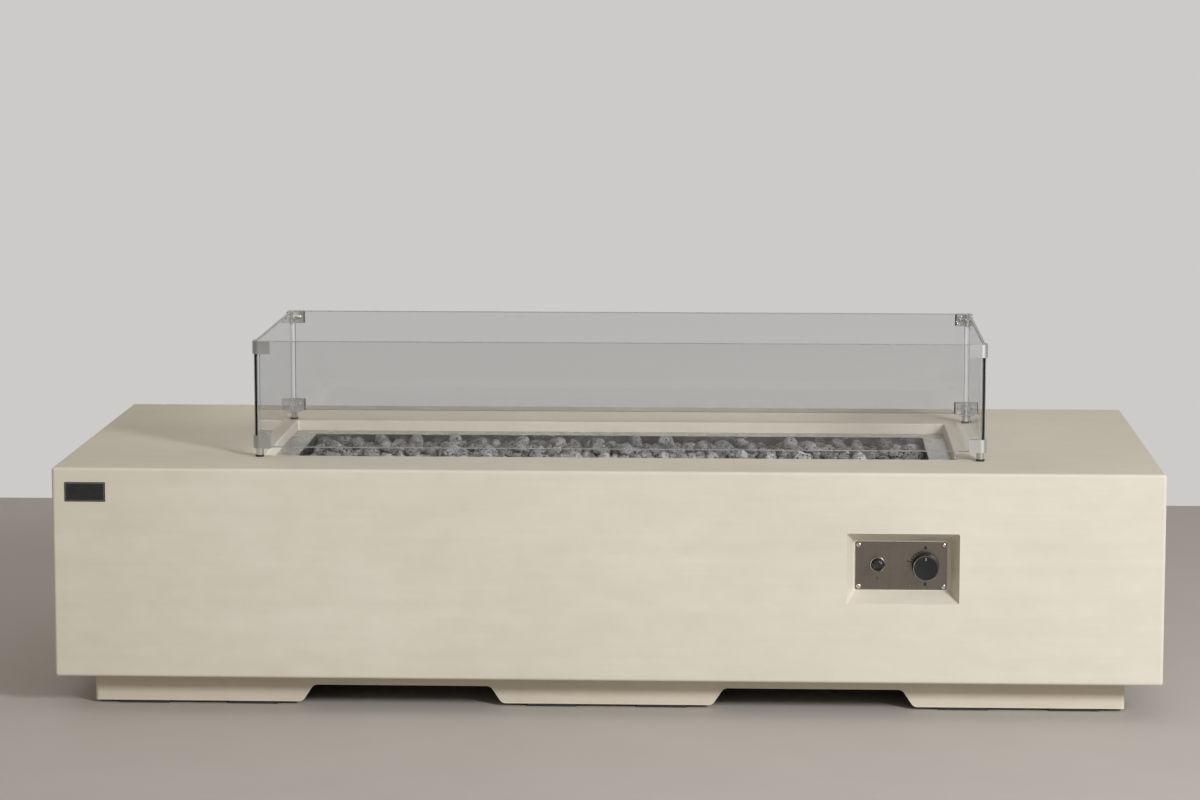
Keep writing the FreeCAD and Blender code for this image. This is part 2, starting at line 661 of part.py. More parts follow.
def plinth_sockets():
    """Threaded sockets cast into the lip of the body, open toward the plinth."""
    sockets = []
    for x, y in bolt_places():
        socket = rod(SOCKET_RADIUS, point(x, y, BODY_BOTTOM), UP, SOCKET_LENGTH)
        thread = rod(BOLT_RADIUS + CLOSE_FIT, point(x, y, BODY_BOTTOM - PAST), UP,
                     SOCKET_LENGTH - SOCKET_END_GAP + PAST + CLOSE_FIT)
        sockets.append(socket.cut(thread))
    return group(sockets)


def floor_pads():
    """Flat rubber pads, two by each bolt of the front and the back, one in the middle of each end."""
    pads = []
    for x, side, step in itertools.product(segment_middles(), (-1, 1), (-1, 1)):
        pads.append(slab(x + step * PAD_FROM_BOLT, side * PLINTH_MID_Y, PAD_LENGTH, PAD_WIDTH, 0, PAD_HEIGHT))
    for end in (-1, 1):
        pads.append(slab(end * PLINTH_MID_X, 0, PAD_WIDTH, PAD_LENGTH, 0, PAD_HEIGHT))
    return group(pads)


def badge_studs():
    """Where the two studs of the badge leave its back."""
    x = -END_X + BADGE_FROM_LEFT
    z = TABLE_HEIGHT - BADGE_BELOW_TOP
    back = FRONT_Y + BADGE_POCKET_DEPTH
    return [point(x + side * BADGE_STUD_SPACING / 2, back, z) for side in (-1, 1)]


def badge_plate():
    back = FRONT_Y + BADGE_POCKET_DEPTH
    plate = panel(-END_X + BADGE_FROM_LEFT, TABLE_HEIGHT - BADGE_BELOW_TOP, BADGE_LENGTH, BADGE_HEIGHT,
                  back - BADGE_THICKNESS, back)
    plate = rounded(plate, ALONG_Y, BADGE_CORNER_RADIUS)
    studs = [rod(BADGE_STUD_RADIUS, stud - ALONG_Y * BADGE_THICKNESS / 2, ALONG_Y,
                 BADGE_STUD_LENGTH + BADGE_THICKNESS / 2) for stud in badge_studs()]
    return plate.fuse(studs).removeSplitter()


def screw_places():
    """X and Z of the four screws of the control plate."""
    reach_x = PLATE_LENGTH / 2 - SCREW_MARGIN
    reach_z = PLATE_HEIGHT / 2 - SCREW_MARGIN
    return [(PLATE_X + sx * reach_x, CONTROL_HEIGHT + sz * reach_z) for sx in (-1, 1) for sz in (-1, 1)]


def control_plate():
    plate = panel(PLATE_X, CONTROL_HEIGHT, PLATE_LENGTH, PLATE_HEIGHT, PLATE_FRONT, PLATE_BACK)
    plate = rounded(plate, ALONG_Y, PLATE_CORNER_RADIUS)
    through = PLATE_THICKNESS + 2 * PAST
    front = PLATE_FRONT - PAST
    holes = [rod(SCREW_RADIUS + SCREW_HOLE_CLEARANCE, point(x, front, z), ALONG_Y, through)
             for x, z in screw_places()]
    holes.append(rod(VALVE_NECK_RADIUS + VALVE_NECK_HOLE_CLEARANCE, point(VALVE_X, front, VALVE_Z),
                     ALONG_Y, through))
    holes.append(rod(IGNITER_RADIUS + IGNITER_HOLE_CLEARANCE, point(IGNITER_X, front, IGNITER_Z),
                     ALONG_Y, through))
    return plate.cut(holes)


def plate_screws():
    """Pan-head screws with a cross slot."""
    screws = []
    for x, z in screw_places():
        head = rod(SCREW_HEAD_RADIUS, point(x, PLATE_FRONT - SCREW_HEAD_HEIGHT, z), ALONG_Y,
                   SCREW_HEAD_HEIGHT)
        rim = [edge for edge in head.Edges if edge.BoundBox.YMax < PLATE_FRONT - SCREW_HEAD_HEIGHT / 2
               and edge.BoundBox.YLength < LEVEL_TOLERANCE]
        head = head.makeFillet(SCREW_HEAD_ROUNDING, rim)
        shank = rod(SCREW_RADIUS, point(x, PLATE_FRONT - PAST / 2, z), ALONG_Y, SCREW_LENGTH + PAST / 2)
        slots = [panel(x, z, length, height, PLATE_FRONT - SCREW_HEAD_HEIGHT - PAST,
                       PLATE_FRONT - SCREW_HEAD_HEIGHT / 2)
                 for length, height in ((SCREW_RADIUS * 2, SCREW_SLOT_WIDTH),
                                        (SCREW_SLOT_WIDTH, SCREW_RADIUS * 2))]
        screws.append(head.fuse(shank).removeSplitter().cut(slots))
    return group(screws)


def screw_plugs():
    """Nylon plugs in the floor of the recess, one behind each screw."""
    return group(ring(PLUG_RADIUS, SCREW_RADIUS + CLOSE_FIT, point(x, PLATE_BACK, z), ALONG_Y, PLUG_LENGTH)
                 for x, z in screw_places())


def stem_outline(radius, start, length):
    """A round bar along the valve's axis with one flat side."""
    bar = rod(radius, start, ALONG_Y, length)
    flat = box(start.x - radius - PAST, start.x + radius + PAST, start.y - PAST, start.y + length + PAST,
               start.z + STEM_FLAT_HEIGHT + radius - STEM_RADIUS, start.z + radius + PAST)
    return bar.cut(flat)


def valve_body():
    block = panel(VALVE_X, VALVE_Z, VALVE_WIDTH, VALVE_HEIGHT, PLATE_BACK, VALVE_REAR)
    block = rounded(block, ALONG_Y, PLATE_CORNER_RADIUS)
    neck_front = PLATE_FRONT - VALVE_NECK_LENGTH
    neck = rod(VALVE_NECK_RADIUS, point(VALVE_X, neck_front, VALVE_Z), ALONG_Y,
               PLATE_BACK + PAST - neck_front)
    outlet = rod(GAS_THREAD_RADIUS, point(VALVE_X, VALVE_REAR - PAST, VALVE_OUTLET_Z), ALONG_Y,
                 GAS_THREAD_LENGTH + PAST)
    inlet = rod(GAS_THREAD_RADIUS, point(VALVE_X, VALVE_INLET_Y, VALVE_INLET_Z), UP, GAS_THREAD_LENGTH + PAST)
    port = rod(SENSOR_PORT_RADIUS, point(VALVE_X, VALVE_REAR - PAST, SENSOR_PORT_Z), ALONG_Y,
               SENSOR_PORT_LENGTH + PAST)
    body = block.fuse([neck, outlet, inlet, port]).removeSplitter()
    chamber = rod(VALVE_CHAMBER_RADIUS, point(VALVE_X, CHAMBER_FRONT, VALVE_Z), ALONG_Y,
                  CHAMBER_REAR - CHAMBER_FRONT)
    bore = rod(STEM_RADIUS + CLOSE_FIT, point(VALVE_X, neck_front - PAST, VALVE_Z), ALONG_Y,
               CHAMBER_FRONT - neck_front + 2 * PAST)
    way_out = rod(GAS_BORE_RADIUS, point(VALVE_X, CHAMBER_REAR - PAST, VALVE_OUTLET_Z), ALONG_Y,
                  VALVE_OUTLET_Y - CHAMBER_REAR + 2 * PAST)
    way_in = rod(GAS_BORE_RADIUS, point(VALVE_X, VALVE_INLET_Y, VALVE_INLET_Z - PAST), UP,
                 VALVE_Z - VALVE_INLET_Z)
    return body.cut([chamber, bore, way_out, way_in])


def valve_nut():
    start = point(VALVE_X, PLATE_FRONT - VALVE_NUT_THICKNESS, VALVE_Z)
    bore = rod(VALVE_NECK_RADIUS + CLOSE_FIT, start, ALONG_Y, VALVE_NUT_THICKNESS)
    return hexagon(VALVE_NUT_HEX, start, ALONG_Y, VALVE_NUT_THICKNESS).cut(bore)


def valve_stem():
    """The stem, flat on one side where the knob holds it, with a shoulder against the collar."""
    rear = CHAMBER_REAR - STEM_END_FROM_CHAMBER
    grip = stem_outline(STEM_RADIUS, point(VALVE_X, STEM_FRONT, VALVE_Z),
                        KNOB_REAR - KNOB_HOLLOW_DEPTH - STEM_FRONT)
    shaft_front = KNOB_REAR - KNOB_HOLLOW_DEPTH
    shaft = rod(STEM_RADIUS, point(VALVE_X, shaft_front, VALVE_Z), ALONG_Y, rear - shaft_front)
    shoulder = rod(STEM_SHOULDER_RADIUS, point(VALVE_X, STEM_SHOULDER_FRONT, VALVE_Z), ALONG_Y,
                   STEM_SHOULDER_LENGTH)
    return shaft.fuse([grip, shoulder]).removeSplitter()


def plunger_collar():
    return ring(VALVE_CHAMBER_RADIUS - COLLAR_GAP, STEM_RADIUS + CLOSE_FIT,
                point(VALVE_X, COLLAR_FRONT, VALVE_Z), ALONG_Y, COLLAR_LENGTH)


def valve_spring():
    """The room that the return spring fills, from the collar to the end of the chamber."""
    return ring(VALVE_SPRING_RADIUS, VALVE_SPRING_RADIUS - VALVE_SPRING_WALL,
                point(VALVE_X, COLLAR_REAR, VALVE_Z), ALONG_Y, CHAMBER_REAR - COLLAR_REAR)


def control_knob():
    front = point(VALVE_X, KNOB_FACE, VALVE_Z)
    grip = rod(KNOB_RADIUS, front, ALONG_Y, KNOB_REAR - KNOB_FACE)
    rim = [edge for edge in grip.Edges if edge.BoundBox.YMax < KNOB_FACE + PAST]
    grip = grip.makeChamfer(KNOB_CHAMFER, rim)
    skirt = rod(KNOB_SKIRT_RADIUS, point(VALVE_X, KNOB_REAR - KNOB_SKIRT_THICKNESS, VALVE_Z), ALONG_Y,
                KNOB_SKIRT_THICKNESS)
    hollow = rod(KNOB_HOLLOW_RADIUS, point(VALVE_X, KNOB_REAR - KNOB_HOLLOW_DEPTH, VALVE_Z), ALONG_Y,
                 KNOB_HOLLOW_DEPTH + PAST)
    bore_length = KNOB_REAR - KNOB_HOLLOW_DEPTH - STEM_FRONT + PAST
    bore = stem_outline(STEM_RADIUS + CLOSE_FIT, point(VALVE_X, STEM_FRONT, VALVE_Z), bore_length)
    return grip.fuse(skirt).removeSplitter().cut([hollow, bore, pointer_block(CLOSE_FIT)])


def pointer_block(extra):
    """The pointer's block, larger by extra all round for the groove that it lies in."""
    top = VALVE_Z + KNOB_RADIUS - POINTER_FROM_RIM
    return box(VALVE_X - POINTER_WIDTH / 2 - extra, VALVE_X + POINTER_WIDTH / 2 + extra,
               KNOB_FACE, KNOB_FACE + POINTER_DEPTH + extra, top - POINTER_LENGTH - extra, top + extra)


def knob_pointer():
    return pointer_block(0)


def igniter_bezel():
    """The chrome ring on the plate, with a lip over the end of the housing."""
    front = point(IGNITER_X, BEZEL_FRONT, IGNITER_Z)
    bezel = rod(BEZEL_RADIUS, front, ALONG_Y, BEZEL_HEIGHT)
    rim = [edge for edge in bezel.Edges if edge.BoundBox.YMax < BEZEL_FRONT + PAST]
    bezel = bezel.makeFillet(BEZEL_LIP, rim)
    seat = rod(IGNITER_RADIUS + CLOSE_FIT, point(IGNITER_X, HOUSING_FRONT, IGNITER_Z), ALONG_Y, BEZEL_HEIGHT)
    mouth = rod(BUTTON_RADIUS + BUTTON_GAP, front - ALONG_Y * PAST, ALONG_Y, BEZEL_HEIGHT)
    return bezel.cut([seat, mouth])


def igniter_housing():
    """The barrel: button room in front, battery room behind it, then the spark module's room."""
    barrel = rod(IGNITER_RADIUS, point(IGNITER_X, HOUSING_FRONT, IGNITER_Z), ALONG_Y,
                 MODULE_REAR - HOUSING_FRONT)
    button_room = rod(IGNITER_BORE_RADIUS, point(IGNITER_X, HOUSING_FRONT - PAST, IGNITER_Z), ALONG_Y,
                      BATTERY_FRONT - HOUSING_FRONT + PAST - HOUSING_WEB)
    battery_room = rod(BATTERY_RADIUS + BATTERY_GAP,
                       point(IGNITER_X, BATTERY_FRONT - HOUSING_WEB - PAST, IGNITER_Z), ALONG_Y,
                       BATTERY_LENGTH + HOUSING_WEB + PAST)
    contact_hole = rod(CONTACT_RADIUS + CLOSE_FIT, point(IGNITER_X, BATTERY_REAR - PAST, IGNITER_Z), ALONG_Y,
                       HOUSING_WEB + 2 * PAST)
    module_room = rod(MODULE_RADIUS + MODULE_GAP, point(IGNITER_X, MODULE_FRONT, IGNITER_Z), ALONG_Y,
                      MODULE_LENGTH + PAST)
    return barrel.cut([button_room, battery_room, contact_hole, module_room])


def igniter_nut():
    start = point(IGNITER_X, PLATE_BACK, IGNITER_Z)
    bore = rod(IGNITER_RADIUS + CLOSE_FIT, start, ALONG_Y, IGNITER_NUT_THICKNESS)
    return hexagon(IGNITER_NUT_HEX, start, ALONG_Y, IGNITER_NUT_THICKNESS).cut(bore)


def igniter_button():
    """The button, with a shallow dish for the finger and a flange that the bezel holds in."""
    button = rod(BUTTON_RADIUS, point(IGNITER_X, BUTTON_FACE, IGNITER_Z), ALONG_Y, BUTTON_REAR - BUTTON_FACE)
    rim = [edge for edge in button.Edges if edge.BoundBox.YMax < BUTTON_FACE + PAST]
    button = button.makeFillet(BUTTON_ROUNDING, rim)
    flange = rod(BUTTON_FLANGE_RADIUS, point(IGNITER_X, BUTTON_REAR - BUTTON_FLANGE_THICKNESS, IGNITER_Z),
                 ALONG_Y, BUTTON_FLANGE_THICKNESS)
    dish = Part.makeSphere(BUTTON_DISH_RADIUS,
                           point(IGNITER_X, BUTTON_FACE + BUTTON_DISH_DEPTH - BUTTON_DISH_RADIUS, IGNITER_Z))
    return button.fuse(flange).removeSplitter().cut(dish)


def igniter_spring():
    """The room that the button's spring fills, from the button to the battery."""
    return ring(BUTTON_SPRING_RADIUS, BUTTON_SPRING_RADIUS - BUTTON_SPRING_WALL,
                point(IGNITER_X, BUTTON_REAR, IGNITER_Z), ALONG_Y, BATTERY_FRONT - BUTTON_REAR)


def igniter_battery():
    cell = rod(BATTERY_RADIUS, point(IGNITER_X, BATTERY_FRONT, IGNITER_Z), ALONG_Y, BATTERY_LENGTH)
    nip = rod(BATTERY_NIP_RADIUS, point(IGNITER_X, BATTERY_FRONT - BATTERY_NIP_HEIGHT, IGNITER_Z), ALONG_Y,
              BATTERY_NIP_HEIGHT)
    return cell.fuse(nip).removeSplitter()


def spark_module():
    """The potted spark unit, with the contact that meets the battery and its terminal."""
    block = rod(MODULE_RADIUS, point(IGNITER_X, MODULE_FRONT, IGNITER_Z), ALONG_Y, MODULE_LENGTH)
    contact = rod(CONTACT_RADIUS, point(IGNITER_X, BATTERY_REAR, IGNITER_Z), ALONG_Y, HOUSING_WEB)
    terminal = rod(TERMINAL_RADIUS, point(IGNITER_X, MODULE_REAR, IGNITER_Z), ALONG_Y, TERMINAL_LENGTH)
    return block.fuse([contact, terminal]).removeSplitter()


def burner_pan():
    """The stainless pan: a wide flange on the ledge, a box below it, and holes for what passes down."""
    flange = slab(0, OPENING_SHIFT_Y, OPENING_LENGTH - 2 * FLANGE_CLEARANCE,
                  OPENING_DEPTH - 2 * FLANGE_CLEARANCE, LEDGE_TOP, FLANGE_TOP)
    flange = rounded(flange, UP, OPENING_CORNER_RADIUS)
    tub = slab(0, OPENING_SHIFT_Y, PAN_LENGTH + 2 * PAN_SHEET, PAN_WIDTH + 2 * PAN_SHEET,
               PAN_BOTTOM, FLANGE_TOP)
    tub = rounded(tub, UP, PAN_CORNER_RADIUS + PAN_SHEET)
    inside = slab(0, OPENING_SHIFT_Y, PAN_LENGTH, PAN_WIDTH, PAN_FLOOR, FLANGE_TOP + PAST)
    inside = rounded(inside, UP, PAN_CORNER_RADIUS)
    holes = [pan_hole(0, OPENING_SHIFT_Y, BURNER_TUBE_RADIUS + CLOSE_FIT),
             pan_hole(ELECTRODE_X, PILOT_Y, ELECTRODE_RADIUS + LEAD_HOLE_CLEARANCE),
             pan_hole(SENSOR_X, PILOT_Y, SENSOR_RADIUS + LEAD_HOLE_CLEARANCE)]
    holes += [pan_hole(x, y, STAND_SCREW_RADIUS + CLOSE_FIT) for x, y in stand_screw_places()]
    return flange.fuse(tub).removeSplitter().cut([inside] + holes)


def pan_hole(x, y, radius):
    return rod(radius, point(x, y, PAN_BOTTOM - PAST), UP, PAN_SHEET + 2 * PAST)


def burner_run(radius, shorten):
    """The burner's tubes as one shape: outside with no shortening, or the bore inside them."""
    half = BURNER_TUBE_LENGTH / 2 - shorten
    runs = [rod(radius, point(-half, y, BURNER_Z), ALONG_X, 2 * half) for y in BURNER_ROWS_Y]
    runs.append(rod(radius, point(0, BURNER_ROWS_Y[0], BURNER_Z), ALONG_Y, BURNER_TUBE_SPACING))
    feed_bottom = PAN_BOTTOM - BURNER_FEED_BELOW_PAN
    if shorten:
        feed_bottom -= PAST
    runs.append(rod(radius, point(0, OPENING_SHIFT_Y, feed_bottom), UP, BURNER_Z - feed_bottom))
    return runs[0].fuse(runs[1:])


def burner_tubes():
    reach = BURNER_TUBE_LENGTH / 2 - JET_END_GAP
    count = int(2 * reach / JET_PITCH) + 1
    first = -(count - 1) * JET_PITCH / 2
    jets = [rod(JET_RADIUS, point(first + step * JET_PITCH, y, BURNER_Z), UP, BURNER_TUBE_RADIUS + PAST)
            for step in range(count) for y in BURNER_ROWS_Y]
    outside = burner_run(BURNER_TUBE_RADIUS, 0).removeSplitter()
    inside = burner_run(BURNER_TUBE_RADIUS - BURNER_TUBE_WALL, BURNER_TUBE_WALL)
    return outside.cut([inside] + jets)


def stand_places():
    return [(end * STAND_SPACING / 2, y) for end in (-1, 1) for y in BURNER_ROWS_Y]


def stand_screw_places():
    return [(x + side * STAND_SCREW_SPACING / 2, y) for x, y in stand_places() for side in (-1, 1)]


def burner_stands():
    """Saddles between the pan and the burner's long tubes."""
    stands = []
    for x, y in stand_places():
        block = slab(x, y, STAND_LENGTH, STAND_DEPTH, PAN_FLOOR, BURNER_Z)
        groove = rod(BURNER_TUBE_RADIUS + CLOSE_FIT, point(x - STAND_LENGTH, y, BURNER_Z), ALONG_X,
                     2 * STAND_LENGTH)
        thread_x = [x + side * STAND_SCREW_SPACING / 2 for side in (-1, 1)]
        threads = [rod(STAND_SCREW_RADIUS + CLOSE_FIT, point(middle, y, PAN_FLOOR - PAST), UP,
                       STAND_SCREW_GRIP + CLOSE_FIT + PAST) for middle in thread_x]
        stands.append(block.cut([groove] + threads))
    return group(stands)


def burner_screws():
    """Screws from under the pan into the saddles."""
    screws = []
    for x, y in stand_screw_places():
        head = rod(STAND_SCREW_HEAD_RADIUS, point(x, y, PAN_BOTTOM - STAND_SCREW_HEAD_HEIGHT), UP,
                   STAND_SCREW_HEAD_HEIGHT)
        shank = rod(STAND_SCREW_RADIUS, point(x, y, PAN_BOTTOM), UP, PAN_SHEET + STAND_SCREW_GRIP)
        screws.append(head.fuse(shank).removeSplitter())
    return group(screws)


def spread(count, reach):
    """Evenly spread places, from one end of a reach to the other, about zero."""
    return [-reach + 2 * reach * step / (count - 1) for step in range(count)]


def rock_grate():
    """The slotted plate that the lava rock lies on."""
    plate = slab(0, OPENING_SHIFT_Y, PAN_LENGTH - 2 * GRATE_GAP, PAN_WIDTH - 2 * GRATE_GAP,
                 GRATE_BOTTOM, GRATE_TOP)
    plate = rounded(plate, UP, PAN_CORNER_RADIUS)
    slots = [slab(x, OPENING_SHIFT_Y + y, GRATE_SLOT_LENGTH, GRATE_SLOT_WIDTH,
                  GRATE_BOTTOM - PAST, GRATE_TOP + PAST)
             for x in spread(GRATE_COLUMNS, PAN_LENGTH / 2 - GRATE_SLOT_LENGTH)
             for y in spread(GRATE_ROWS, PAN_WIDTH / 2 - GRATE_SLOT_LENGTH / 2)]
    return plate.cut(slots)


def grate_posts():
    posts = [rod(POST_RADIUS, point(x, OPENING_SHIFT_Y + y, PAN_FLOOR), UP, GRATE_BOTTOM - PAN_FLOOR)
             for x in spread(POST_COLUMNS, PAN_LENGTH / 2 - POST_MARGIN_X)
             for y in spread(2, PAN_WIDTH / 2 - POST_MARGIN_Y)]
    return group(posts)


def twelve_corners():
    """The corners of an icosahedron, at distance one from its centre."""
    golden = (1 + math.sqrt(5)) / 2
    size = math.sqrt(1 + golden ** 2)
    corners = []
    for a, b in itertools.product((-1, 1), (-golden, golden)):
        corners += [point(0, a, b), point(a, b, 0), point(b, 0, a)]
    return [corner / size for corner in corners]


def twenty_faces(corners):
    """The corners of each face: every three that lie one edge apart."""
    edge = min((corners[0] - other).Length for other in corners[1:])
    return [trio for trio in itertools.combinations(range(12), 3)
            if all(abs((corners[a] - corners[b]).Length - edge) < PARALLEL_TOLERANCE
                   for a, b in itertools.combinations(trio, 2))]


def rock(x, y, level, reach, dice):
    """One stone of flat faces, at most reach from its middle, its lowest corner at a level."""
    turn = FreeCAD.Rotation(UP, dice.uniform(0, 360))
    turn = turn.multiply(FreeCAD.Rotation(ALONG_X, dice.uniform(0, 360)))
    corners = twelve_corners()
    shaped = []
    for corner in corners:
        way = turn.multVec(corner) * reach * (1 - dice.uniform(0, ROCK_ROUGHNESS))
        shaped.append(point(way.x, way.y, way.z * ROCK_HEIGHT_SHARE))
    lift = level - min(corner.z for corner in shaped)
    shaped = [corner + point(x, y, lift) for corner in shaped]
    sides = [Part.Face(Part.makePolygon([shaped[a], shaped[b], shaped[c], shaped[a]]))
             for a, b, c in twenty_faces(corners)]
    solid = Part.makeSolid(Part.makeShell(sides))
    if solid.Volume < 0:
        solid.reverse()
    return solid


def rock_layer(pitch, dice):
    """The stones on the grate, in rows that stagger by half a pitch: X, Y and shape of each."""
    reach_y = (PAN_WIDTH - pitch) / 2 - ROCK_WALL_GAP
    stones = []
    for row, row_y in enumerate(spread(ROCK_ROWS, reach_y)):
        count = ROCK_COLUMNS - row % 2
        for row_x in spread(count, (count - 1) * pitch / 2):
            share = dice.uniform(ROCK_SMALLEST_SHARE, 1)
            room = pitch / 2 * (1 - share) / math.sqrt(2)
            x = row_x + dice.uniform(-room, room)
            y = OPENING_SHIFT_Y + row_y + dice.uniform(-room, room)
            stones.append((x, y, rock(x, y, GRATE_TOP + ROCK_SEAT_GAP, share * pitch / 2, dice)))
    return stones


def settle(stone, below):
    """Lowers a stone onto those under it, to the seat gap."""
    gap = min(stone.distToShape(other)[0] for other in below)
    while gap > 2 * ROCK_SEAT_GAP:
        stone.translate(DOWN * (gap - ROCK_SEAT_GAP))
        gap = min(stone.distToShape(other)[0] for other in below)
    return stone


def top_rocks(layer, pitch, dice):
    """Loose stones, well apart, that each lie on those of the layer below it."""
    stones = []
    for x, y, _ in dice.sample(layer, len(layer)):
        inside = abs(x) < PAN_LENGTH / 2 - pitch and abs(y - OPENING_SHIFT_Y) < PAN_WIDTH / 2 - pitch
        x += pitch / 2
        clear = all(math.hypot(x - other_x, y - other_y) > TOP_ROCK_SPACING
                    for other_x, other_y, _ in stones)
        if inside and clear and len(stones) < TOP_ROCKS:
            near = [other for other_x, other_y, other in layer
                    if math.hypot(x - other_x, y - other_y) < pitch]
            level = max(other.BoundBox.ZMax for other in near) + ROCK_SEAT_GAP
            reach = dice.uniform(TOP_ROCK_SMALLEST_SHARE, TOP_ROCK_LARGEST_SHARE) * pitch / 2
            stones.append((x, y, settle(rock(x, y, level, reach, dice), near)))
    return stones


def lava_rocks():
    """All stones from left to right, as a list of groups."""
    dice = random.Random(11)
    pitch = (PAN_LENGTH - 2 * ROCK_WALL_GAP) / ROCK_COLUMNS
    layer = rock_layer(pitch, dice)
    stones = sorted(layer + top_rocks(layer, pitch, dice), key=lambda stone: stone[0])
    share = math.ceil(len(stones) / ROCK_GROUPS)
    return [group(solid for _, _, solid in stones[start:start + share])
            for start in range(0, len(stones), share)]


def feed_elbow():
    """The elbow under the pan, from the burner's feed to the air mixer."""
    corner = point(0, OPENING_SHIFT_Y, MIXER_Z)
    top = PAN_BOTTOM - BURNER_FEED_BELOW_PAN + SOCKET_DEPTH
    upright = rod(ELBOW_RADIUS, corner, UP, top - MIXER_Z)
    level = rod(ELBOW_RADIUS, corner, ALONG_X, ELBOW_LENGTH)
    body = upright.fuse([level, Part.makeSphere(ELBOW_RADIUS, corner)]).removeSplitter()
    ways = [rod(ELBOW_BORE_RADIUS, corner, UP, top - MIXER_Z),
            rod(ELBOW_BORE_RADIUS, corner, ALONG_X, ELBOW_LENGTH),
            Part.makeSphere(ELBOW_BORE_RADIUS, corner),
            rod(BURNER_TUBE_RADIUS + CLOSE_FIT, point(0, OPENING_SHIFT_Y, top - SOCKET_DEPTH), UP,
                SOCKET_DEPTH + PAST),
            rod(MIXER_RADIUS + CLOSE_FIT, point(MIXER_START, OPENING_SHIFT_Y, MIXER_Z), ALONG_X,
                SOCKET_DEPTH + PAST)]
    return body.cut(ways)


def air_mixer():
    """The tube that draws air in through four holes in front of the injector."""
    start = point(MIXER_START, OPENING_SHIFT_Y, MIXER_Z)
    tube = ring(MIXER_RADIUS, MIXER_RADIUS - MIXER_WALL, start, ALONG_X, MIXER_LENGTH)
    hole_at = point(MIXER_END - AIR_HOLE_FROM_END, OPENING_SHIFT_Y, MIXER_Z)
    reach = MIXER_RADIUS + PAST
    holes = [rod(AIR_HOLE_RADIUS, hole_at - axis * reach, axis, 2 * reach) for axis in (ALONG_Y, UP)]
    return tube.cut(holes)


def injector():
    nose = rod(MIXER_RADIUS - MIXER_WALL - INJECTOR_NOSE_GAP,
               point(MIXER_END - INJECTOR_NOSE_LENGTH, OPENING_SHIFT_Y, MIXER_Z), ALONG_X,
               INJECTOR_NOSE_LENGTH + PAST)
    head = hexagon(INJECTOR_HEX, point(MIXER_END, OPENING_SHIFT_Y, MIXER_Z), ALONG_X, INJECTOR_HEX_LENGTH)
    thread = rod(GAS_THREAD_RADIUS, point(MIXER_END + INJECTOR_HEX_LENGTH - PAST, OPENING_SHIFT_Y, MIXER_Z),
                 ALONG_X, GAS_THREAD_LENGTH + PAST)
    jet = rod(INJECTOR_BORE_RADIUS, point(MIXER_END - INJECTOR_NOSE_LENGTH - PAST, OPENING_SHIFT_Y, MIXER_Z),
              ALONG_X, INJECTOR_NOSE_LENGTH + 2 * PAST)
    way = rod(GAS_BORE_RADIUS, point(MIXER_END, OPENING_SHIFT_Y, MIXER_Z), ALONG_X,
              INJECTOR_HEX_LENGTH + GAS_THREAD_LENGTH + PAST)
    return nose.fuse([head, thread]).removeSplitter().cut([jet, way])


def union_nut(end, axis, tube_radius):
    """A nut over a threaded end, which holds the tube that meets it there."""
    start = end - axis * (GAS_THREAD_LENGTH - CLOSE_FIT)
    nut = hexagon(UNION_NUT_HEX, start, axis, UNION_NUT_LENGTH)
    thread = rod(GAS_THREAD_RADIUS + CLOSE_FIT, start - axis * PAST, axis,
                 GAS_THREAD_LENGTH + PAST - CLOSE_FIT)
    neck = rod(tube_radius + CLOSE_FIT, end - axis * PAST, axis, UNION_NUT_LENGTH)
    return nut.cut([thread, neck])


def part_way(start, end, share_x, share_y, hang):
    """A point between two ends, its level on the slope between them less how far it hangs."""
    way = end - start
    return start + point(way.x * share_x, way.y * share_y, way.z * share_x - hang)


def hose_ends():
    """Where the gas hose meets the valve and the injector."""
    return point(VALVE_X, VALVE_OUTLET_Y, VALVE_OUTLET_Z), point(INJECTOR_END, OPENING_SHIFT_Y, MIXER_Z)


def gas_hose():
    """From the back of the valve, level at first, then across to the injector under the pan."""
    start, end = hose_ends()
    points = [start, start + ALONG_Y * HOSE_RUN_OUT, part_way(start, end, 0.19, 0.76, 0),
              part_way(start, end, 0.46, 0.93, 0), end + ALONG_X * HOSE_RUN_IN, end]
    return lead("gas_hose", points, HOSE_RADIUS).cut(lead("gas_hose bore", points, HOSE_BORE_RADIUS))


def hose_nuts():
    start, end = hose_ends()
    return group([union_nut(start, ALONG_Y, HOSE_RADIUS), union_nut(end, ALONG_X, HOSE_RADIUS)])


def pipe_ends():
    """Where the inlet pipe meets the inlet fitting and the valve."""
    return point(INLET_X, INLET_Y, INLET_TOP), point(VALVE_X, VALVE_INLET_Y, VALVE_INLET_Z)


def inlet_pipe():
    """From the inlet fitting at the back, under the pan, up into the valve."""
    start, end = pipe_ends()
    level = (start.z + end.z) / 2
    points = [start, point(start.x, start.y, level), point(end.x, end.y, level), end]
    return lead("inlet_pipe", points, PIPE_RADIUS).cut(lead("inlet_pipe bore", points, PIPE_BORE_RADIUS))


def pipe_nuts():
    start, end = pipe_ends()
    return group([union_nut(start, UP, PIPE_RADIUS), union_nut(end, DOWN, PIPE_RADIUS)])


def inlet_fitting():
    """The bulkhead fitting: a stub for the supply below the lip, and a thread up through it."""
    hex_bottom = BODY_BOTTOM - INLET_HEX_HEIGHT
    stub_bottom = hex_bottom - INLET_STUB_LENGTH
    bar = rod(GAS_THREAD_RADIUS, point(INLET_X, INLET_Y, stub_bottom), UP, INLET_TOP - stub_bottom)
    collar = hexagon(UNION_NUT_HEX, point(INLET_X, INLET_Y, hex_bottom), UP, INLET_HEX_HEIGHT)
    way = rod(GAS_BORE_RADIUS, point(INLET_X, INLET_Y, stub_bottom - PAST), UP,
              INLET_TOP - stub_bottom + 2 * PAST)
    return bar.fuse(collar).removeSplitter().cut(way)


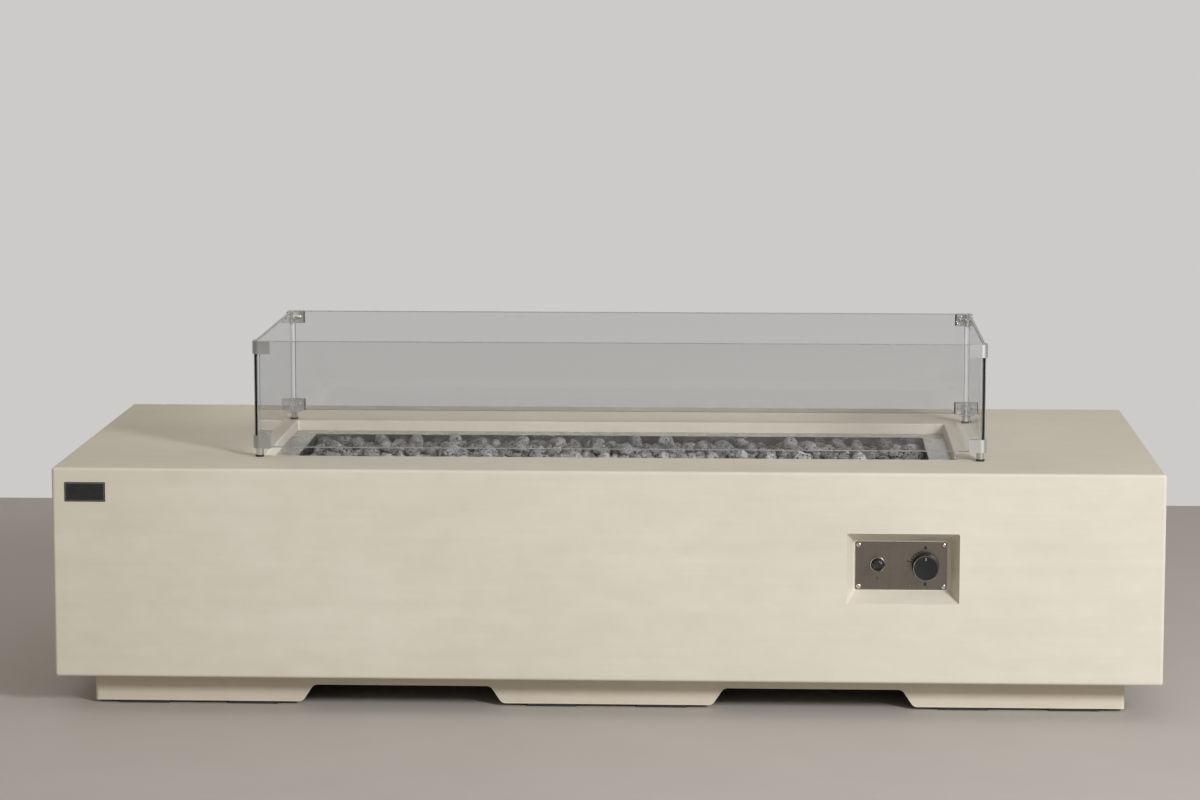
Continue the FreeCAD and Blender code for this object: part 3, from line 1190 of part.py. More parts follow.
def inlet_nut():
    start = point(INLET_X, INLET_Y, LIP_TOP)
    bore = rod(GAS_THREAD_RADIUS + CLOSE_FIT, start, UP, INLET_NUT_HEIGHT)
    return hexagon(UNION_NUT_HEX, start, UP, INLET_NUT_HEIGHT).cut(bore)


def pilot_bracket():
    """The foot on the pan's floor with two collars, for the electrode and the flame sensor."""
    foot = slab(PILOT_X, PILOT_Y, PILOT_BRACKET_LENGTH, PILOT_BRACKET_DEPTH, PAN_FLOOR,
                PAN_FLOOR + PILOT_BRACKET_THICKNESS)
    rods = ((ELECTRODE_X, ELECTRODE_RADIUS), (SENSOR_X, SENSOR_RADIUS))
    height = PILOT_BRACKET_THICKNESS + PILOT_COLLAR_HEIGHT
    collars = [rod(radius + PILOT_COLLAR_WALL, point(x, PILOT_Y, PAN_FLOOR), UP, height)
               for x, radius in rods]
    holes = [rod(radius + CLOSE_FIT, point(x, PILOT_Y, PAN_FLOOR - PAST), UP, height + 2 * PAST)
             for x, radius in rods]
    return foot.fuse(collars).removeSplitter().cut(holes)


def spark_electrode():
    """A ceramic rod with a bare metal tip."""
    top = PAN_FLOOR + ELECTRODE_ABOVE_PAN
    ceramic = rod(ELECTRODE_RADIUS, point(ELECTRODE_X, PILOT_Y, PILOT_BOTTOM), UP, top - PILOT_BOTTOM)
    tip = rod(ELECTRODE_TIP_RADIUS, point(ELECTRODE_X, PILOT_Y, top - PAST), UP, ELECTRODE_TIP_LENGTH + PAST)
    return ceramic.fuse(tip).removeSplitter()


def flame_sensor():
    top = PAN_FLOOR + SENSOR_ABOVE_PAN
    return rod(SENSOR_RADIUS, point(SENSOR_X, PILOT_Y, PILOT_BOTTOM), UP, top - PILOT_BOTTOM)


def ignition_wire():
    """From the spark module down and along under the pan, and up into the electrode."""
    start = point(IGNITER_X, MODULE_REAR + TERMINAL_LENGTH, IGNITER_Z)
    end = point(ELECTRODE_X, PILOT_Y, PILOT_BOTTOM)
    foot = end - UP * SPARK_WIRE_RUN_IN
    points = [start, start + ALONG_Y * SPARK_WIRE_RUN_OUT,
              part_way(start, foot, 0.07, 0.41, 0.7 * SPARK_WIRE_HANG),
              part_way(start, foot, 0.30, 0.60, 1.1 * SPARK_WIRE_HANG),
              part_way(start, foot, 0.61, 0.97, SPARK_WIRE_HANG),
              part_way(start, foot, 0.85, 0.99, 0.9 * SPARK_WIRE_HANG), foot, end]
    return lead("ignition_wire", points, SPARK_WIRE_RADIUS)


def sensor_lead():
    """From the valve's sensor port under the hose, and up into the flame sensor."""
    start = point(VALVE_X, VALVE_REAR + SENSOR_PORT_LENGTH, SENSOR_PORT_Z)
    end = point(SENSOR_X, PILOT_Y, PILOT_BOTTOM)
    foot = end - UP * SENSOR_LEAD_RUN_IN
    points = [start, start + ALONG_Y * SENSOR_LEAD_RUN_OUT,
              part_way(start, foot, 0.14, 0.66, 0.7 * SENSOR_LEAD_HANG),
              part_way(start, foot, 0.43, 0.94, 1.1 * SENSOR_LEAD_HANG),
              part_way(start, foot, 0.69, 1, SENSOR_LEAD_HANG),
              part_way(start, foot, 0.91, 1, SENSOR_LEAD_HANG), foot, end]
    return lead("sensor_lead", points, SENSOR_LEAD_RADIUS)


def guard_corners(make):
    """Makes a shape for the right back corner, and its mirror images for the others."""
    shapes = []
    for end, side in itertools.product((-1, 1), (-1, 1)):
        shape = make()
        if end < 0:
            shape = shape.mirror(point(0, 0, 0), ALONG_X)
        if side < 0:
            shape = shape.mirror(point(0, 0, 0), ALONG_Y)
        shape.translate(point(GUARD_X + end * GUARD_HALF_LENGTH, GUARD_Y + side * GUARD_HALF_DEPTH, 0))
        shapes.append(shape)
    return shapes


def bent_block(reach, side, radius, z0, z1):
    """A block in the right back corner, past the glass by side, with its outer upright edge rounded."""
    block = box(-reach, side, -reach, side, z0, z1)
    outer = [edge for edge in edges_along(block, UP)
             if min(edge.BoundBox.XMin, edge.BoundBox.YMin) > side - LEVEL_TOLERANCE]
    return block.makeFillet(radius, outer)


def clamp_screw_holes(radius, outer, inner, z):
    """Two bars through a corner, one through each glass, from inside to outside."""
    far = CLAMP_SCREW_FROM_CORNER
    return [rod(radius, point(-far, -inner, z), ALONG_Y, inner + outer),
            rod(radius, point(-inner, -far, z), ALONG_X, inner + outer)]


def outer_clamp(z0, z1, screw_z):
    """A strip bent round the corner of the glass, with blind holes for its screws."""
    outside = bent_block(CLAMP_LENGTH, GASKET_THICKNESS + CLAMP_THICKNESS, CLAMP_BEND_RADIUS, z0, z1)
    inside = bent_block(CLAMP_LENGTH + PAST, GASKET_THICKNESS, CLAMP_BEND_RADIUS - CLAMP_THICKNESS,
                        z0 - PAST, z1 + PAST)
    holes = clamp_screw_holes(CLAMP_SCREW_RADIUS + CLOSE_FIT,
                              GASKET_THICKNESS + CLAMP_SCREW_GRIP + CLOSE_FIT, 0, screw_z)
    return outside.cut([inside] + holes)


def lower_clamp():
    """A corner clamp with a base under the glass that carries the leg."""
    top = CLAMP_BASE_BOTTOM + CLAMP_HEIGHT
    clamp = outer_clamp(CLAMP_BASE_BOTTOM, top, LOWER_SCREW_Z)
    base = bent_block(CLAMP_BASE_LENGTH, GASKET_THICKNESS, CLAMP_BEND_RADIUS - CLAMP_THICKNESS,
                      CLAMP_BASE_BOTTOM, GLASS_BOTTOM)
    stud = point(-LEG_FROM_CORNER, -LEG_FROM_CORNER, CLAMP_BASE_BOTTOM - PAST)
    stud_hole = rod(LEG_STUD_RADIUS + CLOSE_FIT, stud, UP, CLAMP_BASE + 2 * PAST)
    return clamp.fuse(base).removeSplitter().cut(stud_hole)


def upper_clamp():
    return outer_clamp(GLASS_TOP - CLAMP_HEIGHT, GLASS_TOP, UPPER_SCREW_Z)


def clamp_levels():
    """Bottom, top and screw level of the lower and of the upper clamps, where they lie on the glass."""
    return ((GLASS_BOTTOM, CLAMP_BASE_BOTTOM + CLAMP_HEIGHT, LOWER_SCREW_Z),
            (GLASS_TOP - CLAMP_HEIGHT, GLASS_TOP, UPPER_SCREW_Z))


def inner_angle(offset, thickness, reach, z0, z1):
    """An upright angle inside the right back corner of the glass."""
    near = -offset
    far = -offset - thickness
    along_back = box(-GLASS_THICKNESS - reach, near, far, near, z0, z1)
    along_end = box(far, near, -GLASS_THICKNESS - reach, near, z0, z1)
    return along_back.fuse(along_end).removeSplitter()


def clamp_backs():
    """The inner angles that the screws pull against the glass."""
    backs = []
    for z0, z1, screw_z in clamp_levels():
        def back():
            plate = inner_angle(GLASS_INNER, CLAMP_BACK_THICKNESS, CLAMP_BACK_LENGTH, z0, z1)
            return plate.cut(clamp_screw_holes(CLAMP_SCREW_RADIUS + CLOSE_FIT, 0,
                                               GLASS_INNER + CLAMP_BACK_THICKNESS + PAST, screw_z))
        backs += guard_corners(back)
    return group(backs)


def clamp_gaskets():
    """Thin soft pads between glass and metal: two outside each corner and an angle inside it."""
    gaskets = []
    for z0, z1, screw_z in clamp_levels():
        def outside():
            pads = [box(-CLAMP_LENGTH, -LONG_GLASS_FROM_CORNER, 0, GASKET_THICKNESS, z0, z1),
                    box(0, GASKET_THICKNESS, -CLAMP_LENGTH, -LONG_GLASS_FROM_CORNER, z0, z1)]
            return group(pads).cut(clamp_screw_holes(CLAMP_SCREW_RADIUS + CLOSE_FIT,
                                                     GASKET_THICKNESS + PAST, PAST, screw_z))

        def inside():
            pad = inner_angle(GLASS_THICKNESS, GASKET_THICKNESS, CLAMP_BACK_LENGTH, z0, z1)
            return pad.cut(clamp_screw_holes(CLAMP_SCREW_RADIUS + CLOSE_FIT, 0, GLASS_INNER + PAST, screw_z))
        gaskets += guard_corners(outside)
        gaskets += guard_corners(inside)
    return group(solid for gasket in gaskets for solid in gasket.Solids)


def clamp_screws():
    """Round-headed screws from inside the guard, two in each corner clamp."""
    inner_face = GLASS_INNER + CLAMP_BACK_THICKNESS
    screws = []
    for z0, z1, screw_z in clamp_levels():
        def pair():
            reach = GASKET_THICKNESS + CLAMP_SCREW_GRIP
            shanks = clamp_screw_holes(CLAMP_SCREW_RADIUS, reach, inner_face, screw_z)
            far = CLAMP_SCREW_FROM_CORNER
            seats = [(point(-far, -inner_face - CLAMP_SCREW_HEAD_HEIGHT, screw_z), ALONG_Y),
                     (point(-inner_face - CLAMP_SCREW_HEAD_HEIGHT, -far, screw_z), ALONG_X)]
            heads = [rod(CLAMP_SCREW_HEAD_RADIUS, seat, axis, CLAMP_SCREW_HEAD_HEIGHT)
                     for seat, axis in seats]
            return group(head.fuse(shank).removeSplitter() for head, shank in zip(heads, shanks))
        screws += guard_corners(pair)
    return group(solid for pair in screws for solid in pair.Solids)


def guard_legs():
    """A round leg under each lower clamp, with a stud up into its base and a socket for the foot pad."""
    def leg():
        foot = point(-LEG_FROM_CORNER, -LEG_FROM_CORNER, TABLE_HEIGHT + FOOT_PAD_HEIGHT)
        body = rod(LEG_RADIUS, foot, UP, LEG_HEIGHT)
        stud = rod(LEG_STUD_RADIUS, foot + UP * (LEG_HEIGHT - PAST), UP, CLAMP_BASE + PAST)
        socket = rod(FOOT_PLUG_RADIUS + CLOSE_FIT, foot - UP * PAST, UP,
                     FOOT_PLUG_HEIGHT + CLOSE_FIT + PAST)
        return body.fuse(stud).removeSplitter().cut(socket)
    return group(guard_corners(leg))


def guard_foot_pads():
    def pad():
        foot = point(-LEG_FROM_CORNER, -LEG_FROM_CORNER, TABLE_HEIGHT)
        disc = rod(FOOT_PAD_RADIUS, foot, UP, FOOT_PAD_HEIGHT)
        plug = rod(FOOT_PLUG_RADIUS, foot, UP, FOOT_PAD_HEIGHT + FOOT_PLUG_HEIGHT)
        return disc.fuse(plug).removeSplitter()
    return group(guard_corners(pad))


def glass_holes(sides):
    """Holes through all four corners of the guard, for the screws of both clamp levels."""
    holes = []
    for z in (LOWER_SCREW_Z, UPPER_SCREW_Z):
        def pair():
            holes_of_corner = clamp_screw_holes(GLASS_HOLE_RADIUS, PAST, GLASS_THICKNESS + PAST, z)
            return group(holes_of_corner[sides:sides + 1])
        holes += guard_corners(pair)
    return [solid for hole in holes for solid in hole.Solids]


def long_glass(side):
    """The front or back pane, which ends short of the end panes."""
    outer = GUARD_Y + side * GUARD_HALF_DEPTH
    inner = outer - side * GLASS_THICKNESS
    half = GUARD_HALF_LENGTH - LONG_GLASS_FROM_CORNER
    pane = box(GUARD_X - half, GUARD_X + half, min(outer, inner), max(outer, inner), GLASS_BOTTOM, GLASS_TOP)
    return pane.cut(glass_holes(0))


def end_glass(end):
    """The left or right pane, which ends a little inside the bends of the clamps."""
    outer = GUARD_X + end * GUARD_HALF_LENGTH
    inner = outer - end * GLASS_THICKNESS
    half = GUARD_HALF_DEPTH - END_GLASS_FROM_CORNER
    pane = box(min(outer, inner), max(outer, inner), GUARD_Y - half, GUARD_Y + half, GLASS_BOTTOM, GLASS_TOP)
    return pane.cut(glass_holes(1))


def all_parts():
    """Every node of the table, by name."""
    parts = {
        "concrete_body": concrete_body(),
        "plinth": plinth(),
        "plinth_bolts": plinth_bolts(),
        "plinth_sockets": plinth_sockets(),
        "floor_pads": floor_pads(),
        "badge_plate": badge_plate(),
        "control_plate": control_plate(),
        "plate_screws": plate_screws(),
        "screw_plugs": screw_plugs(),
        "valve_body": valve_body(),
        "valve_nut": valve_nut(),
        "valve_stem": valve_stem(),
        "plunger_collar": plunger_collar(),
        "valve_spring": valve_spring(),
        "control_knob": control_knob(),
        "knob_pointer": knob_pointer(),
        "igniter_bezel": igniter_bezel(),
        "igniter_housing": igniter_housing(),
        "igniter_nut": igniter_nut(),
        "igniter_button": igniter_button(),
        "igniter_spring": igniter_spring(),
        "igniter_battery": igniter_battery(),
        "spark_module": spark_module(),
        "burner_pan": burner_pan(),
        "burner_tubes": burner_tubes(),
        "burner_stands": burner_stands(),
        "burner_screws": burner_screws(),
        "rock_grate": rock_grate(),
        "grate_posts": grate_posts(),
        "feed_elbow": feed_elbow(),
        "air_mixer": air_mixer(),
        "injector": injector(),
        "gas_hose": gas_hose(),
        "hose_nuts": hose_nuts(),
        "inlet_pipe": inlet_pipe(),
        "pipe_nuts": pipe_nuts(),
        "inlet_fitting": inlet_fitting(),
        "inlet_nut": inlet_nut(),
        "pilot_bracket": pilot_bracket(),
        "spark_electrode": spark_electrode(),
        "flame_sensor": flame_sensor(),
        "ignition_wire": ignition_wire(),
        "sensor_lead": sensor_lead(),
        "glass_front": long_glass(-1),
        "glass_back": long_glass(1),
        "glass_left": end_glass(-1),
        "glass_right": end_glass(1),
        "lower_clamps": group(guard_corners(lower_clamp)),
        "upper_clamps": group(guard_corners(upper_clamp)),
        "clamp_backs": clamp_backs(),
        "clamp_gaskets": clamp_gaskets(),
        "clamp_screws": clamp_screws(),
        "guard_legs": guard_legs(),
        "guard_foot_pads": guard_foot_pads(),
    }
    for number, rocks in enumerate(lava_rocks(), start=1):
        parts[f"lava_rocks_{number}"] = rocks
    return parts


os.makedirs("parts", exist_ok=True)
for name, shape in all_parts().items():
    volume = shape.Volume / 1000
    print(f"{name}: {len(shape.Solids)} solids, valid {shape.isValid()}, volume {volume:.1f} cm3")
    shape.exportStep(f"parts/{name}.step")
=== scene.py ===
"""Fire pit table: the dressed model, its finishes and a plain studio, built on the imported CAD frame."""
import math
import random

import bmesh
import bpy
from mathutils import Matrix, Vector, noise


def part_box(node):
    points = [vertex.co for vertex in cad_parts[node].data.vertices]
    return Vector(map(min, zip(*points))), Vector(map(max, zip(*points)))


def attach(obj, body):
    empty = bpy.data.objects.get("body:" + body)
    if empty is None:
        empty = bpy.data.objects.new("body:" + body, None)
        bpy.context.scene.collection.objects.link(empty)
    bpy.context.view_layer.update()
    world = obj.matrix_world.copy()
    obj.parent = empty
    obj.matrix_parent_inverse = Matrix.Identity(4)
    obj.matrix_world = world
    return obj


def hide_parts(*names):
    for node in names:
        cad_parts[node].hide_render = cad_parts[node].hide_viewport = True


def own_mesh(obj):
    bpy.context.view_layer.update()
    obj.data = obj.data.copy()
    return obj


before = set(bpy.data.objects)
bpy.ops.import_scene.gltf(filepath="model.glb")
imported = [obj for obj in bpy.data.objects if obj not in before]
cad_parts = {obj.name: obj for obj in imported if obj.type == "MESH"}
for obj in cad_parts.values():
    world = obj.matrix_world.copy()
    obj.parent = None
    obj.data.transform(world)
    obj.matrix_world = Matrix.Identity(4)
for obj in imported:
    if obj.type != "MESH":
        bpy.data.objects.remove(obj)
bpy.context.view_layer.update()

# Lengths are in metres, and the camera's lens and sensor in millimetres

# Control plate, knob and igniter
PLATE_FRONT = -0.3575
KNOB_MIDDLE = Vector((0.5169, PLATE_FRONT, 0.2430))
IGNITER_MIDDLE = Vector((0.4397, PLATE_FRONT, 0.2455))
KNOB_HOLLOW_RADIUS = 0.016
KNOB_HOLLOW_DEPTH = 0.009
STEM_BORE_RADIUS = 0.0041
STEM_BORE_FROM_FACE = 0.0029
KNOB_BODY_IN_SKIRT = 0.0012
KNOB_CUT_EDGE = 0.0013
KNOB_CUT_DEPTH = 0.0011
KNOB_STEPS = 96
BEZEL_MOUTH_RADIUS = 0.0097
CAP_IN_FLANGE = 0.0007
IGNITER_STEPS = 72

# Printed marks
PRINT_THICKNESS = 0.00008
DOT_RADIUS = 0.0015
DOTS_FROM_KNOB = 0.0248
DOT_DEGREES = (105, 117, 129, 141, 152, 163)
OUTER_DOT_FROM_KNOB = 0.0290
OUTER_DOT_DEGREES = 164
DROP_RADIUS = 0.0026
DROP_LENGTH = 0.0040
DROPS_FROM_KNOB = 0.0300
SPARK_BELOW_IGNITER = 0.0225
BORDER_FROM_EDGE = 0.0017
BORDER_WIDTH = 0.0006

# Springs behind the plate
SPRING_PITCH = 0.0026
VALVE_WIRE_RADIUS = 0.0008
IGNITER_WIRE_RADIUS = 0.0006
WIRE_SIDES = 8
STEPS_PER_TURN = 18

# Lava stones
STONE_SEED = 5
STONE_ROUNDING = 0.78
STONE_LUMPS = 0.11
STONE_LUMP_SCALE = 1.9
STONE_TOP = 0.3985
STONE_SIZES = (0.90, 1.16)
STONE_RAISES = (0.0, 0.005)
STONE_SHIFT = 0.0055
STONE_LONGEST = 1.32

# Loose stones on top of the layer
LOOSE_STONE_HEIGHT = 0.374
LOOSE_STONE_SIZES = (1.08, 1.32)
LOOSE_STONE_RAISES = (0.001, 0.004)
LOOSE_STONE_SHIFT = STONE_SHIFT / 2

# Glass and screws
GLASS_CHAMFER = 0.0013
SCREW_HEAD_HEIGHT = 0.0024
SOCKET_SHARE = 0.42
HEAD_STEPS = 20
SHANK_STEPS = 12
SHANK_IN_HEAD = 0.0003
CLAMP_SHANK_RADIUS = 0.0019
PLATE_SHANK_RADIUS = 0.0017

# Joining corners and shading edges
MERGE_DISTANCE = 0.00001
TURNED_MERGE_DISTANCE = 0.000002
CORNER_TOLERANCE = 0.0001
SHARP_ANGLE = math.radians(35)
IGNITER_SHARP_ANGLE = math.radians(40)

# Studio
FLOOR_HALF_WIDTH = 9.0
FLOOR_HALF_DEPTH = 5.9
FLOOR_BACK = 1.78
LAMP_PLACE = (3.0, -4.1, 2.35)
LAMP_TARGET = (0.0, -0.3, 0.3)
LAMP_SIZE = (0.9, 0.9)
LAMP_POWER = 207.0
LAMP_TINT = (0.97, 0.995, 1.04)
CAMERA_PLACE = (0.249376, -6.230084, 1.292442)
CAMERA_TURN = (math.pi / 2 - 0.1321, 0.0, 0.0442)
CAMERA_LENS = 110.09
SENSOR_WIDTH = 36.0


# Node tools

def put(tree, kind, values=None, **settings):
    """Adds a node with its settings; each value is set on an input, or linked to it if it is a socket."""
    made = tree.nodes.new(kind)
    for name, setting in settings.items():
        setattr(made, name, setting)
    for name, value in (values or {}).items():
        if isinstance(value, bpy.types.NodeSocket):
            tree.links.new(value, made.inputs[name])
        else:
            made.inputs[name].default_value = value
    return made


def math_node(tree, operation, first, second, clamp=False):
    made = put(tree, "ShaderNodeMath", {0: first, 1: second}, operation=operation, use_clamp=clamp)
    return made.outputs[0]


def multiply(tree, first, second):
    return math_node(tree, "MULTIPLY", first, second)


def remap(tree, value, low, high, new_low, new_high):
    """Turns a value between low and high into one between two new ends, and no further."""
    made = put(tree, "ShaderNodeMapRange", {"Value": value, "From Min": low, "From Max": high,
                                            "To Min": new_low, "To Max": new_high})
    return made.outputs["Result"]


def blend_colours(tree, share, first, second, way="MIX"):
    made = put(tree, "ShaderNodeMix", data_type="RGBA", blend_type=way)
    for name, value in (("Factor_Float", share), ("A_Color", first), ("B_Color", second)):
        socket = next(s for s in made.inputs if s.identifier == name)
        if isinstance(value, bpy.types.NodeSocket):
            tree.links.new(value, socket)
        else:
            socket.default_value = value
    return next(s for s in made.outputs if s.identifier == "Result_Color")


def tint(tree, tone, mask, share, second):
    """Brings a tone towards a second one by a share of a mask."""
    return blend_colours(tree, multiply(tree, mask, share), tone, second)


def colour(red, green, blue):
    return (red, green, blue, 1.0)


def grey(value):
    return (value, value, value, 1.0)


def new_group(name, inputs, outputs):
    """A shader node group: its tree, the sockets that come in and the sockets that go out."""
    kinds = {"number": "NodeSocketFloat", "colour": "NodeSocketColor", "vector": "NodeSocketVector"}
    tree = bpy.data.node_groups.new(name, "ShaderNodeTree")
    for label, kind, value in inputs:
        made = tree.interface.new_socket(label, in_out="INPUT", socket_type=kinds[kind])
        made.default_value = value
    for label, kind in outputs:
        tree.interface.new_socket(label, in_out="OUTPUT", socket_type=kinds[kind])
    return tree, tree.nodes.new("NodeGroupInput").outputs, tree.nodes.new("NodeGroupOutput").inputs


def use_group(tree, group, **values):
    """Places a node group; keyword names are its input names with underscores for spaces."""
    made = tree.nodes.new("ShaderNodeGroup")
    made.node_tree = group
    for name, value in values.items():
        made.inputs[name.replace("_", " ").capitalize()].default_value = value
    return made.outputs


def own_place(tree):
    return put(tree, "ShaderNodeTexCoord").outputs["Object"]


def spread_places(tree, per_metre):
    """The place on the piece, times a number for each direction."""
    spread = put(tree, "ShaderNodeVectorMath", {0: own_place(tree), 1: per_metre}, operation="MULTIPLY")
    return spread.outputs[0]


def scale_places(tree, places, times):
    return put(tree, "ShaderNodeVectorMath", {0: places, "Scale": times}, operation="SCALE").outputs[0]


def noise_at(tree, places, scale, detail, roughness=0.5, distortion=0.0):
    made = put(tree, "ShaderNodeTexNoise", {"Vector": places, "Scale": scale, "Detail": detail,
                                            "Roughness": roughness, "Distortion": distortion})
    return made.outputs["Fac"]


# Shared effects

def cloudy_tone_group():
    """Two tones in soft clouds, with a finer cloud inside the coarse one."""
    tree, given, result = new_group(
        "Cloudy tone",
        [("Light tone", "colour", grey(0.8)), ("Dark tone", "colour", grey(0.6)),
         ("Clouds per metre", "vector", (4.0, 4.0, 4.0)), ("Contrast", "number", 1.0)],
        [("Tone", "colour"), ("Cloud", "number")])
    places = spread_places(tree, given["Clouds per metre"])
    coarse = noise_at(tree, places, 1.0, 4.0, 0.6)
    fine = noise_at(tree, scale_places(tree, places, 7.3), 1.0, 3.0, 0.6)
    both = math_node(tree, "ADD", multiply(tree, coarse, 0.65), multiply(tree, fine, 0.35))
    centred = multiply(tree, math_node(tree, "SUBTRACT", both, 0.5), given["Contrast"])
    cloud = math_node(tree, "ADD", multiply(tree, centred, 3.0), 0.5, clamp=True)
    tree.links.new(cloud, result["Cloud"])
    tree.links.new(blend_colours(tree, cloud, given["Dark tone"], given["Light tone"]), result["Tone"])
    return tree


def pores_group():
    """Scattered round pits; one cell in several holds a pit."""
    tree, given, result = new_group(
        "Pores",
        [("Pores per metre", "number", 200.0), ("Share of cells", "number", 0.3),
         ("Pore size", "number", 0.35)],
        [("Pit", "number")])
    cells = put(tree, "ShaderNodeTexVoronoi", {"Vector": own_place(tree),
                                               "Scale": given["Pores per metre"]})
    chance = put(tree, "ShaderNodeSeparateColor", {"Color": cells.outputs["Color"]}).outputs[0]
    chosen = math_node(tree, "LESS_THAN", chance, given["Share of cells"])
    size = multiply(tree, given["Pore size"], math_node(tree, "ADD", chance, 0.5))
    distance = math_node(tree, "DIVIDE", cells.outputs["Distance"], size)
    nearness = math_node(tree, "SUBTRACT", 1.0, distance, clamp=True)
    tree.links.new(multiply(tree, nearness, chosen), result["Pit"])
    return tree


def edge_wear_and_highlight_group():
    """High along outer edges, broken up in patches so that no edge is marked evenly; the finishes use it
    for rubbed wear and, in their colour, for a painted highlight along the edges.
    """
    tree, given, result = new_group(
        "Edge wear and painted highlight",
        [("Width", "number", 0.003), ("Patches per metre", "number", 60.0)],
        [("Worn", "number")])
    rounded = put(tree, "ShaderNodeBevel", {"Radius": given["Width"]}, samples=4).outputs[0]
    normal = put(tree, "ShaderNodeNewGeometry").outputs["Normal"]
    alike = put(tree, "ShaderNodeVectorMath", {0: rounded, 1: normal}, operation="DOT_PRODUCT")
    edge = remap(tree, alike.outputs["Value"], 0.995, 0.80, 0.0, 1.0)
    patches = noise_at(tree, own_place(tree), given["Patches per metre"], 4.0)
    broken = remap(tree, patches, 0.35, 0.62, 0.15, 1.0)
    tree.links.new(multiply(tree, edge, broken), result["Worn"])
    return tree


def lines_group():
    """Fine drawn or brushed lines; the direction with the smallest number runs along them."""
    tree, given, result = new_group(
        "Drawn lines",
        [("Lines per metre", "vector", (30.0, 2500.0, 2500.0)), ("Depth of tone", "number", 1.0)],
        [("Line", "number")])
    places = spread_places(tree, given["Lines per metre"])
    fine = noise_at(tree, places, 1.0, 2.0, 0.7)
    wide = noise_at(tree, scale_places(tree, places, 0.23), 1.0, 2.0, 0.6)
    both = math_node(tree, "ADD", multiply(tree, fine, 0.6), multiply(tree, wide, 0.4))
    line = multiply(tree, math_node(tree, "SUBTRACT", both, 0.5), given["Depth of tone"])
    tree.links.new(math_node(tree, "ADD", line, 0.5, clamp=True), result["Line"])
    return tree


def scratches_group():
    """Sparse straight hairline scratches that run in two directions."""
    tree, given, result = new_group(
        "Hairline scratches", [("Scratches per metre", "number", 400.0)], [("Scratch", "number")])
    marks = []
    for turn in (0.35, 1.9):
        place = own_place(tree)
        slanted = put(tree, "ShaderNodeMapping", {"Vector": place, "Scale": (0.012, 1.0, 1.0),
                                                  "Rotation": (turn, turn * 0.7, turn * 1.3)})
        waves = noise_at(tree, slanted.outputs[0], given["Scratches per metre"], 0.0)
        off_middle = math_node(tree, "ABSOLUTE", math_node(tree, "SUBTRACT", waves, 0.5), 0.5)
        line = remap(tree, off_middle, 0.0, 0.012, 1.0, 0.0)
        patches = remap(tree, noise_at(tree, place, 35.0, 2.0), 0.52, 0.68, 0.0, 1.0)
        marks.append(multiply(tree, line, patches))
    tree.links.new(math_node(tree, "MAXIMUM", *marks), result["Scratch"])
    return tree


def smudges_group():
    """Soft finger smears and settled dust, as a share of the surface."""
    tree, given, result = new_group(
        "Smudges and dust",
        [("Smudges per metre", "number", 18.0), ("Dust on top", "number", 0.5)],
        [("Smudge", "number"), ("Dust", "number")])
    place = own_place(tree)
    smears = noise_at(tree, place, given["Smudges per metre"], 5.0, distortion=0.6)
    tree.links.new(remap(tree, smears, 0.45, 0.72, 0.0, 1.0), result["Smudge"])
    normal = put(tree, "ShaderNodeNewGeometry").outputs["Normal"]
    upward = put(tree, "ShaderNodeSeparateXYZ", {0: normal}).outputs[2]
    specks = remap(tree, noise_at(tree, place, 900.0, 3.0), 0.42, 0.7, 0.2, 1.0)
    settled = multiply(tree, remap(tree, upward, 0.2, 0.95, 0.0, 1.0), specks)
    tree.links.new(multiply(tree, settled, given["Dust on top"]), result["Dust"])
    return tree


def grain_group():
    """A fine uneven skin, as a height."""
    tree, given, result = new_group(
        "Skin grain", [("Grains per metre", "number", 1500.0), ("Waves per metre", "number", 60.0)],
        [("Height", "number")])
    place = own_place(tree)
    grains = noise_at(tree, place, given["Grains per metre"], 3.0)
    waves = noise_at(tree, place, given["Waves per metre"], 2.0)
    height = math_node(tree, "ADD", multiply(tree, grains, 0.35), multiply(tree, waves, 0.65))
    tree.links.new(height, result["Height"])
    return tree


CLOUDY_TONE = cloudy_tone_group()
PORES = pores_group()
EDGE_WEAR_AND_HIGHLIGHT = edge_wear_and_highlight_group()
DRAWN_LINES = lines_group()
SCRATCHES = scratches_group()
SMUDGES = smudges_group()
SKIN_GRAIN = grain_group()


# Finishes

def new_finish(name, **values):
    """A material, its tree and its shader; keyword names are shader inputs with underscores for spaces."""
    material = bpy.data.materials.new(name)
    material.use_nodes = True
    tree = material.node_tree
    surface = tree.nodes["Principled BSDF"]
    for key, value in values.items():
        surface.inputs[key.replace("_", " ")].default_value = value
    return material, tree, surface


def clouds_of(tree, light, dark, per_metre, contrast):
    """Cloudy tones, as many clouds per metre each way as given by one number or by three."""
    each_way = per_metre if isinstance(per_metre, tuple) else (per_metre, per_metre, per_metre)
    return use_group(tree, CLOUDY_TONE, light_tone=light, dark_tone=dark, clouds_per_metre=each_way,
                     contrast=contrast)


def set_relief(tree, surface, height, distance, strength=1.0):
    bump = put(tree, "ShaderNodeBump", {"Height": height, "Distance": distance, "Strength": strength})
    tree.links.new(bump.outputs["Normal"], surface.inputs["Normal"])


